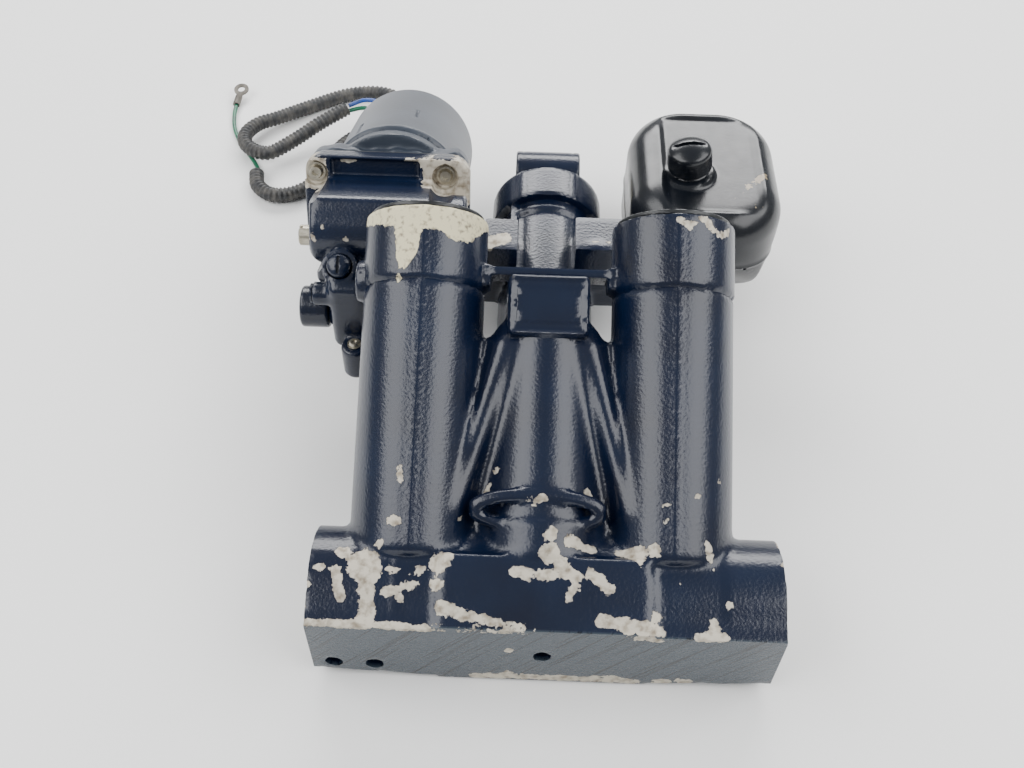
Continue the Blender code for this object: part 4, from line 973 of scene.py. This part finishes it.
bell = shaped("motor_bell_casting", bell_field, (-124.0, 204.0, 29.0), (-37.0, 252.0, 106.0), 1.2)
# The bell's greyer enamel colour is a painted reflection of the sky.
bell.data.materials.append(reflection_grey_enamel)
points = places(bell)
side, height, along = motor_place(*points.T)
edge_wear = np.maximum(np.abs(side - 39.0) - 0.9, np.abs(height - 4.0) - 17.0)
marks = spots(points, [((-100.5, 236.0, 90.7), (-95.0, 236.0, 90.7), 0.8), ((-111.0, 224.5, 96.0), None, 1.0)])
wear(bell, "bare", np.minimum(edge_wear, marks))
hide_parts("motor_end_bell")
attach(bell, "unit")

can = shaped("motor_drawn_can", can_field, (-117.0, 212.0, -9.0), (-42.0, 334.0, 101.0), 0.9)
# The can's greyer enamel colour is a painted reflection of the sky.
can.data.materials.append(reflection_grey_enamel)
points = places(can)
marks = spots(points, [((-94.5, 238.6, 93.5), (-89.5, 238.6, 94.6), 0.7), ((-78.0, 324.0, 40.0), None, 1.4)])
wear(can, "bare", marks)
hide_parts("motor_can")
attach(can, "unit")

# %% [markdown]
# ## Oil reservoir
# A blow-moulded tank of near-black plastic with large radii and a moulding seam. Its
# inner wall is part of the same closed shell, so the tank is hollow as on the real one.


# %% Tank
def filler_place(x, y, z):
    """Sideways, depth and along coordinates of the leaning filler neck."""
    dx, dy, dz = x - FILLER_BASE[0], y - FILLER_BASE[1], z - FILLER_BASE[2]
    along = -dx * math.sin(FILLER_LEAN) + dz * math.cos(FILLER_LEAN)
    side = dx * math.cos(FILLER_LEAN) + dz * math.sin(FILLER_LEAN)
    return side, dy, along


def tank_field(points):
    """Hollow tank with its seam, foot and filler neck."""
    x, y, z = points.T
    dx = np.abs(x - 82.5) - 39.5 + 31.0
    dy = np.abs(y - 262.0) - 50.0 + 31.0
    outline = np.hypot(np.maximum(dx, 0.0), np.maximum(dy, 0.0)) + np.minimum(np.maximum(dx, dy), 0.0) - 31.0
    shell = rounded(outline, np.abs(z - 40.0) - 34.0, 17.0)
    slope = np.maximum(half_plane(y, z, (238.0, 4.0), (210.0, 44.0)), half_plane(x, z, (124.0, 42.0), (106.0, 4.0)))
    shell = soft_max(shell, slope, 8.0)
    seam = 0.55 * np.exp(-((z - 40.0) / 0.8) ** 2)
    shell = shell - seam
    panel = box_field(x, y, z, (60.0, 222.0, 71.6), (110.0, 300.0, 80.0), 3.0)
    shell = soft_max(shell, -panel, 3.0)
    rib = capsule(x, y, z, (84.0, 211.2, 22.0), (84.0, 213.0, 62.0), 2.0)
    shell = soft_min(shell, rib, 2.0)
    dent = box_field(x, y, z, (50.0, 205.0, 26.0), (78.0, 214.6, 60.0), 2.5)
    shell = soft_max(shell, -dent, 3.5)
    foot = box_field(x, y, z, (42.8, 196.0, 28.0), (56.0, 226.0, 64.0), 2.2)
    shell = soft_min(shell, foot, 2.5)
    side, depth, along = filler_place(x, y, z)
    around = np.hypot(side, depth)
    shell = soft_min(shell, rod_field(around, along, 8.6, -12.0, 9.0, 0.8), 2.0)
    shell = soft_min(shell, rod_field(around, along, 12.5, -12.0, -0.5, 1.0), 2.5)
    inside = np.maximum(rounded(outline + 3.2, np.abs(z - 39.0) - 30.0, 13.0), slope + 3.5)
    gone = np.minimum(inside, rod_field(around, along, 6.0, -16.0, 14.0, 0.3))
    hole = rod_field(np.hypot(y - 204.0, z - 46.0), x, 2.3, 38.0, 62.0, 0.2)
    return np.maximum(shell, -np.minimum(gone, hole))


tank = shaped("blow_moulded_tank", tank_field, (40.0, 193.0, 3.0), (125.0, 315.0, 88.0), 1.4)


def plastic(name, dark, light, roughness, scuff):
    """Moulded plastic: a faint leathery skin, with pale scuffs where stored."""
    made, tree = material(name)
    worn = ragged(tree, "scuff", 5.0, 1.5, 5.0, 5.0)
    colour = mottled(tree, 18.0, 3.0, 0.3, 0.7, dark, light)
    colour = node(tree, "ShaderNodeMix", {0: worn, 6: colour, 7: scuff}, out=2, data_type='RGBA')
    rough = node(tree, "ShaderNodeMapRange", {"Value": grain(tree, 9.0, detail=3.0), "To Min": roughness - 0.06,
                                              "To Max": roughness + 0.1})
    bump = node(tree, "ShaderNodeBump", {"Height": grain(tree, 1.4), "Strength": 0.22, "Distance": 0.12 * MM})
    connect(tree, tree.nodes["Principled BSDF"], {"Base Color": colour, "Roughness": rough, "Normal": bump,
                                                  "IOR": 1.5})
    return made


# Gloss blow-moulded polyethylene: black with a hint of blue, tan where it has rubbed
tank_plastic = plastic("blow_moulded_black_plastic", "0B0E13", "12161D", 0.22, "8B7D66")
tank.data.materials.append(tank_plastic)
points = places(tank)
wear(tank, "scuff", spots(points, [((95.0, 236.0, 73.6), (112.0, 252.0, 72.0), 1.4),
                                   ((106.0, 228.0, 70.0), (118.0, 240.0, 66.0), 1.1)]))
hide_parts("reservoir_tank")
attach(tank, "unit")


# %% Filler cap
def cap_field(points):
    """Domed cap with a ribbed skirt and a coin slot, hollow below."""
    side, depth, along = filler_place(*points.T)
    around = np.hypot(side, depth)
    turned = np.arctan2(depth, side)
    ribs = 0.25 * np.cos(turned * 24) * np.exp(-((along - 6.5) / 3.0) ** 4)
    skirt = rod_field(around - ribs, along, 11.3, 2.8, 12.5, 0.8)
    dome = np.sqrt(around ** 2 + (along + 1.0) ** 2) - 18.4
    body = np.maximum(soft_max(rod_field(around, along, 11.4, 2.8, 19.0, 0.3), dome, 1.5), 2.8 - along)
    body = np.minimum(body, skirt)
    slot = box_field(side, depth, along, (-9.0, -1.3, 15.2), (9.0, 1.3, 24.0), 0.3)
    under = rod_field(around, along, 9.0, -5.0, 11.0, 0.3)
    return np.maximum(body, -np.minimum(slot, under))


cap = shaped("domed_filler_cap", cap_field, (56.0, 238.0, 73.0), (88.0, 266.0, 96.0), 0.55)
cap.data.materials.append(tank_plastic)
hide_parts("filler_cap")
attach(cap, "filler")

# %% [markdown]
# ## Finishes of the remaining parts
# Small parts keep the shapes that the CAD gave them. Each gets the finish of what it is
# on the real unit: turned and plated steel, rubber, nylon, sintered magnets, brass and
# copper. One function varies noise scale, stretch and colours for all the metals.


# %% Metals
def metal(name, clean, stained, roughness, mark_mm, stretch=(1, 1, 1), cover=0.6, scratch=0.15):
    """Bare or plated metal with stains and fine tool marks."""
    made, tree = material(name)
    colour = mottled(tree, 4.0, 4.0, 1 - cover, 0.85, clean, stained)
    marks = grain(tree, mark_mm, stretch, detail=3.0)
    rough = node(tree, "ShaderNodeMapRange", {"Value": marks, "To Min": roughness - 0.08, "To Max": roughness + 0.12})
    bump = node(tree, "ShaderNodeBump", {"Height": marks, "Strength": scratch, "Distance": 0.1 * MM})
    connect(tree, tree.nodes["Principled BSDF"], {"Base Color": colour, "Roughness": rough, "Normal": bump,
                                                  "Metallic": 1.0})
    return made


# Hard chrome, ground and polished: mirror bright with faint rings
hard_chrome = metal("hard_chrome_plating", "C4C6C8", "A9ABAD", 0.14, 1.0, (1, 1, 6), 0.45, 0.04)
# Turned carbon steel: grey with fine cutter rings
turned_steel = metal("turned_steel", "9C9B98", "6E6A64", 0.34, 0.8, (1, 4, 4))
# Zinc plate with a dull chromate film: warm grey and blotchy
zinc_plate = metal("zinc_plated_steel_film", "C2BDAF", "8F8774", 0.38, 0.9)
# Die-cast aluminium of the gear pump: pale and matte
pump_aluminium = metal("die_cast_aluminium", "B9B8B4", "8D8A84", 0.45, 1.6)
# Enamelled copper wire and brass bars: warm brown-orange
copper_wire = metal("enamelled_copper", "B4663A", "6E3A22", 0.35, 0.6, (1, 6, 6))
# Tin over copper on the crimp: dark grey where it has oxidised
oxidised_tin = metal("oxidised_tin_plate", "827E77", "4B4843", 0.42, 1.0, cover=0.7)
print("metals", [m.name for m in (hard_chrome, turned_steel, zinc_plate, pump_aluminium, copper_wire, oxidised_tin)])


# %% Non-metals
# Anodised gland: satin black with turning rings
black_gland = plastic("black_anodised_gland", "15171A", "202326", 0.34, "8E8A80")
# Nitrile rubber: matt charcoal with bloom
nitrile = plastic("nitrile_rubber", "1B1C1D", "2B2B2A", 0.6, "6E6A62")
# Nylon bush, cream from age and grease
aged_nylon = plastic("aged_white_nylon", "CFC8A6", "B4A878", 0.42, "8A7A50")
# Sintered ferrite: dark grey ceramic with a fine grain
ferrite = plastic("sintered_ferrite", "2A2A2C", "363638", 0.55, "77736C")
# Phenolic paper board: brown, slightly glossy
phenolic = plastic("phenolic_paper_board", "5A2E16", "6E3B1D", 0.4, "9A7A55")
# Pressed carbon: black, with a soft graphite sheen
carbon = plastic("pressed_carbon", "17171A", "232326", 0.45, "5A5A5E")
FINISHES = {"navy_paint": navy_enamel, "navy_tank": tank_plastic, "black_gland": black_gland,
            "black_rubber": nitrile, "white_nylon": aged_nylon, "chromed_steel": hard_chrome,
            "plain_steel": turned_steel, "zinc_plated_steel": zinc_plate, "bare_aluminium": pump_aluminium,
            "ferrite_magnet": ferrite, "phenolic_board": phenolic, "carbon_brush": carbon,
            "copper_winding": copper_wire, "black_loom": loom_nylon, "blue_insulation": blue_pvc,
            "green_insulation": green_pvc, "tinned_copper": oxidised_tin}
for name, part in sorted(frame["nodes"].items()):
    for holder in part.material_slots:
        holder.material = FINISHES[holder.material.name.split(".")[0]]
print("finished", len(frame["nodes"]), "CAD nodes with", len(FINISHES), "finishes")

# %% [markdown]
# ## Tilt rod and its eye
# The rod's eye is a short thick barrel, welded to the rod and enamelled with the unit.
# The rod itself is chromed. A cream nylon bush lines the eye.


# %% Tilt rod
def rod_shape(points):
    """Rod, its threaded tail and the eye welded on its end."""
    across, out, along = tilt_place(*points.T)
    around = np.hypot(across, out)
    stem = rod_field(around, along, 9.0, 79.4, 262.0, 0.3)
    tail = rod_field(around, along, 6.5, 57.0, 90.0, 0.5)
    from_eye = np.hypot(out, along - EYE_ALONG)
    eye = rod_field(from_eye, across, 15.0, -18.0, 18.0, 1.3)
    bevel = 0.25 * np.exp(-((np.abs(across) - 14.0) / 0.5) ** 2)
    body = soft_min(np.minimum(stem, tail), eye + bevel, 2.5)
    return np.maximum(body, -rod_field(from_eye, across, 11.0, -30.0, 30.0, 0.1))


tilt_rod = shaped("tilt_rod_and_eye", rod_shape, (-20.0, 78.0, 12.0), (20.0, 312.0, 50.0), 1.1)
tilt_rod.data.materials.append(navy_enamel)
tilt_rod.data.materials.append(hard_chrome)
across, out, along = tilt_place(*places(tilt_rod).T)
for face in tilt_rod.data.polygons:
    face.material_index = int(np.mean(along[list(face.vertices)]) < 250.5)
wear(tilt_rod, "bare", np.minimum(np.abs(along - EYE_ALONG) + np.abs(np.abs(across) - 18.0) * 3 - 0.5 + 8.0, 30.0))
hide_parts("tilt_rod")
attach(tilt_rod, "tilt_ram")

# %% [markdown]
# ## Ram glands
# Each gland screws into its barrel with a two-pin spanner, so its flange has two holes.
# A rubber wiper lip stands proud round the rod.


# %% Glands
def gland(name, cad_node, place, rim, inner, bore, flange, wiper, pin_circle, low, high):
    """One gland, from the place function of its barrel and its radii in millimetres."""
    def field(points):
        across, out, along = place(*points.T)
        around = np.hypot(across, out)
        body = np.minimum(rod_field(around, along, bore - 0.3, rim - 20.0, rim + 0.3, 0.3),
                          rod_field(around, along, flange, rim + 0.3, rim + 2.6, 0.8))
        rings = 0.18 * np.cos(around * 2.6) * (along > rim + 1.5)
        gone = np.minimum(rod_field(around, along, inner, rim - 30.0, rim + 9.0, 0.1),
                          rod_field(around, along, wiper + 0.3, rim - 2.0, rim + 9.0, 0.2))
        for sign in (-1, 1):
            hole = np.hypot(across - sign * pin_circle, out)
            gone = np.minimum(gone, rod_field(hole, along, 2.2, rim - 4.0, rim + 9.0, 0.2))
        return np.maximum(body + rings * 0.3, -gone)
    made = shaped(name, field, low, high, 0.9)
    made.data.materials.append(black_gland)
    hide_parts(cad_node)
    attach(made, "unit")


for side, sign in (("left", -1), ("right", 1)):
    middle = sign * TRIM_X
    gland("trim_gland_ring_" + side, "trim_gland_" + side, lambda x, y, z, s=sign: trim_place(x, y, z, s),
          TRIM_RIM, 10.3, 21.0, 25.0, 13.5, 19.2, (middle - 26.5, 130.0, 76.0), (middle + 26.5, 182.0, 137.0))
gland("tilt_gland_ring", "tilt_gland", tilt_place, TILT_RIM, 9.3, 16.5, 22.0, 12.5, 17.4,
      (-23.5, 246.0, 6.0), (23.5, 274.0, 54.0))

# %% [markdown]
# ## Valve caps
# The check valve's cap is a thick painted cup. The relief plug is domed, with a short
# notch for a screwdriver.


# %% Valve caps
def check_field(points):
    """Cup with a ring pressed in its face, on a stem."""
    x, y, z = points.T
    around = from_axis(y, z, CHECK_YZ)
    body = rod_field(around, x, 10.2, -120.5, -106.3, 1.6)
    stem = rod_field(around, x, 5.7, -107.0, -98.0, 0.3)
    ring = 0.3 * np.exp(-((around - 7.6) / 0.5) ** 2) * (x < -119.0)
    return np.minimum(body + ring, stem)


def relief_field(points):
    """Domed plug with a short notch across its top."""
    shift, low, up = relief_place(*points.T)
    around = np.hypot(shift, low)
    dome = np.sqrt(around ** 2 + (up - 9.3) ** 2) - 9.3
    body = soft_max(rod_field(around, up, 5.8, 4.0, 19.0, 0.3), dome, 1.0)
    slot = box_field(shift, low, up, (-0.8, -4.2, 16.6), (0.8, 4.2, 30.0), 0.2)
    return np.maximum(body, -slot)


check_cap = shaped("check_valve_cup", check_field, (-122.0, 162.0, 32.0), (-96.0, 185.0, 56.0), 0.7)
relief = shaped("domed_relief_plug", relief_field, (-106.0, 158.0, 60.0), (-91.0, 182.0, 86.0), 0.6)
for piece, cad_node in ((check_cap, "check_valve_cap"), (relief, "relief_plug")):
    piece.data.materials.append(navy_enamel)
    wear(piece, "bare", np.full(len(piece.data.vertices), 30.0))
    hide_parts(cad_node)
    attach(piece, "unit")

# %% [markdown]
# ## Screws
# The visible screws repeat, so one Geometry Nodes tree sets a pan head with a hexagon
# recess on every point and turns it to the point's axis. Named inputs size the head and
# the shank, and each screw stops at a random turn, as tightened screws do.


# %% Screw tree
FULL_TURN = 6.28
screw_tree = new_tree("pan_head_screws")
add_input(screw_tree, "Head radius", 'NodeSocketFloat', 4.6 * MM)
add_input(screw_tree, "Head height", 'NodeSocketFloat', 3.0 * MM)
add_input(screw_tree, "Shank radius", 'NodeSocketFloat', 2.5 * MM)
add_input(screw_tree, "Shank length", 'NodeSocketFloat', 12.0 * MM)
add_input(screw_tree, "Seed", 'NodeSocketInt', 7)
add_input(screw_tree, "Material", 'NodeSocketMaterial')
given = screw_tree.nodes.new("NodeGroupInput").outputs
sizes = {}
for name, source, factor in (("washer depth", "Head height", 0.3), ("washer lift", "Head height", 0.16),
                             ("pan depth", "Head height", 0.7), ("pan lift", "Head height", 0.3),
                             ("pan top", "Head radius", 0.6), ("pan bottom", "Head radius", 0.78),
                             ("key radius", "Head radius", 0.38), ("key lift", "Head height", 1.1),
                             ("shank lift", "Shank length", -0.5)):
    sizes[name] = node(screw_tree, "ShaderNodeMath", {0: given[source], 1: factor}, operation='MULTIPLY')
parts = {}
for name, kind, inputs in (
        ("washer", "GeometryNodeMeshCylinder",
         {"Vertices": 40, "Radius": given["Head radius"], "Depth": sizes["washer depth"]}),
        ("pan", "GeometryNodeMeshCone",
         {"Vertices": 40, "Side Segments": 2, "Depth": sizes["pan depth"],
          "Radius Top": sizes["pan top"], "Radius Bottom": sizes["pan bottom"]}),
        ("key", "GeometryNodeMeshCylinder",
         {"Vertices": 6, "Radius": sizes["key radius"], "Depth": given["Head height"]}),
        ("shank", "GeometryNodeMeshCylinder",
         {"Vertices": 24, "Radius": given["Shank radius"], "Depth": given["Shank length"]})):
    shape = node(screw_tree, kind, inputs)
    lift = node(screw_tree, "ShaderNodeCombineXYZ", {"Z": sizes[name + " lift"]})
    parts[name] = node(screw_tree, "GeometryNodeTransform", {"Geometry": shape, "Translation": lift})
head = node(screw_tree, "GeometryNodeMeshBoolean", {"Mesh 1": parts["pan"], "Mesh 2": parts["key"]},
            operation='DIFFERENCE')
whole = screw_tree.nodes.new("GeometryNodeJoinGeometry")
for part in (parts["washer"], head, parts["shank"]):
    screw_tree.links.new(part, whole.inputs[0])
axis = node(screw_tree, "GeometryNodeInputNamedAttribute", {"Name": "axis"}, data_type='FLOAT_VECTOR')
spin = node(screw_tree, "FunctionNodeRandomValue", {"Seed": given["Seed"], 2: 0.0, 3: FULL_TURN}, out=1,
            data_type='FLOAT')
twist = node(screw_tree, "ShaderNodeCombineXYZ", {"Z": spin})
aim = node(screw_tree, "FunctionNodeAlignRotationToVector", {"Vector": axis}, axis='Z')
aim = node(screw_tree, "FunctionNodeRotateRotation", {"Rotation": aim, "Rotate By": twist}, rotation_space='LOCAL')
placed = node(screw_tree, "GeometryNodeInstanceOnPoints", {"Points": given["Geometry"],
                                                           "Instance": whole.outputs[0], "Rotation": aim})
end_tree(screw_tree, placed, given["Material"])
print("screw tree with", len(screw_tree.nodes), "nodes")


# %% Screws in place
def screws(name, cad_nodes, heads, slot="zinc_plated_steel", **sizes):
    """Screws at places (millimetres from the front face), each with its outward axis."""
    mesh = bpy.data.meshes.new(name)
    mesh.from_pydata([world(place) for place, axis in heads], [], [])
    layer = mesh.attributes.new("axis", 'FLOAT_VECTOR', 'POINT')
    layer.data.foreach_set("vector", [v for place, axis in heads for v in axis])
    made = run_tree(add_object(name, mesh), screw_tree, name, Material=zinc_plate, **sizes)
    finish_mesh(made, 30.0)
    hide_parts(*cad_nodes)
    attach(made, "unit")
    print(name, len(heads), "heads,", len(made.data.polygons), "faces")


def from_motor(side, height, along):
    """A place given in the motor's own directions."""
    up = Vector((0.0, math.sin(MOTOR_LEAN), math.cos(MOTOR_LEAN)))
    return Vector(MOTOR_MIDDLE) + Vector((side, 0.0, 0.0)) + up * height + MOTOR_AXIS * along


screws("motor_screws", [f"motor_screw_{i}" for i in (1, 2, 3, 4)],
       [(from_motor(x, height, -5.8), -MOTOR_AXIS) for x, height in SCREWS],
       **{"Head height": 3.4 * MM, "Shank length": 15.5 * MM})
screws("lobe_fixing", ["lobe_screw"], [((*LOBE_XY, 40.3), (0.0, 0.0, 1.0))],
       **{"Head radius": 3.4 * MM, "Head height": 2.1 * MM, "Shank radius": 1.7 * MM, "Shank length": 5.0 * MM})
screws("tank_fixing", ["reservoir_screw"], [((56.4, 204.0, 46.0), (1.0, 0.0, 0.0))],
       **{"Head radius": 4.4 * MM, "Head height": 2.3 * MM, "Shank radius": 2.0 * MM, "Shank length": 21.0 * MM})

# %% [markdown]
# ## Floor and light
# A plain pale table and broad overhead lights. Their reflections are what shows the
# roundness of dark gloss enamel, so they are long and wide, with a dark gap between
# them that leaves a blue band along the crown of each barrel.

# %% Table
bpy.ops.mesh.primitive_plane_add(size=6.0, location=(0.0, 0.0, CAD_BOX[0][2]))
floor = bpy.context.object
floor.name = "table"
table_paint, tree = material("pale_table")
shade = node(tree, "ShaderNodeMix", {0: grain(tree, 200.0), 6: "F7F7F6", 7: "FAFAF9"}, out=2, data_type='RGBA')
connect(tree, tree.nodes["Principled BSDF"], {"Base Color": shade, "Roughness": 0.6})
floor.data.materials.append(table_paint)
print("table at", round(floor.location.z, 4))

# %% Lights
studio = bpy.data.worlds.new("studio")
bpy.context.scene.world = studio
studio.use_nodes = True
connect(studio.node_tree, studio.node_tree.nodes["Background"], {"Color": "F2F4F6", "Strength": 0.45})


def area_light(name, place, target, size, power):
    """A white rectangular light that faces a target."""
    data = bpy.data.lights.new(name, 'AREA')
    data.shape = 'RECTANGLE'
    data.size, data.size_y = size
    data.energy = power
    light = add_object(name, data)
    light.location = place
    light.rotation_euler = (Vector(target) - Vector(place)).to_track_quat('-Z', 'Y').to_euler()


area_light("left_softbox", (-0.92, -0.2, 1.0), (0.0, 0.0, 0.05), (1.5, 0.85), 19.0)
area_light("right_softbox", (0.90, -0.2, 1.0), (0.0, 0.0, 0.05), (1.5, 0.85), 19.0)
area_light("back_softbox", (0.0, 1.5, 1.0), (0.0, 0.1, 0.05), (2.0, 0.6), 42.0)
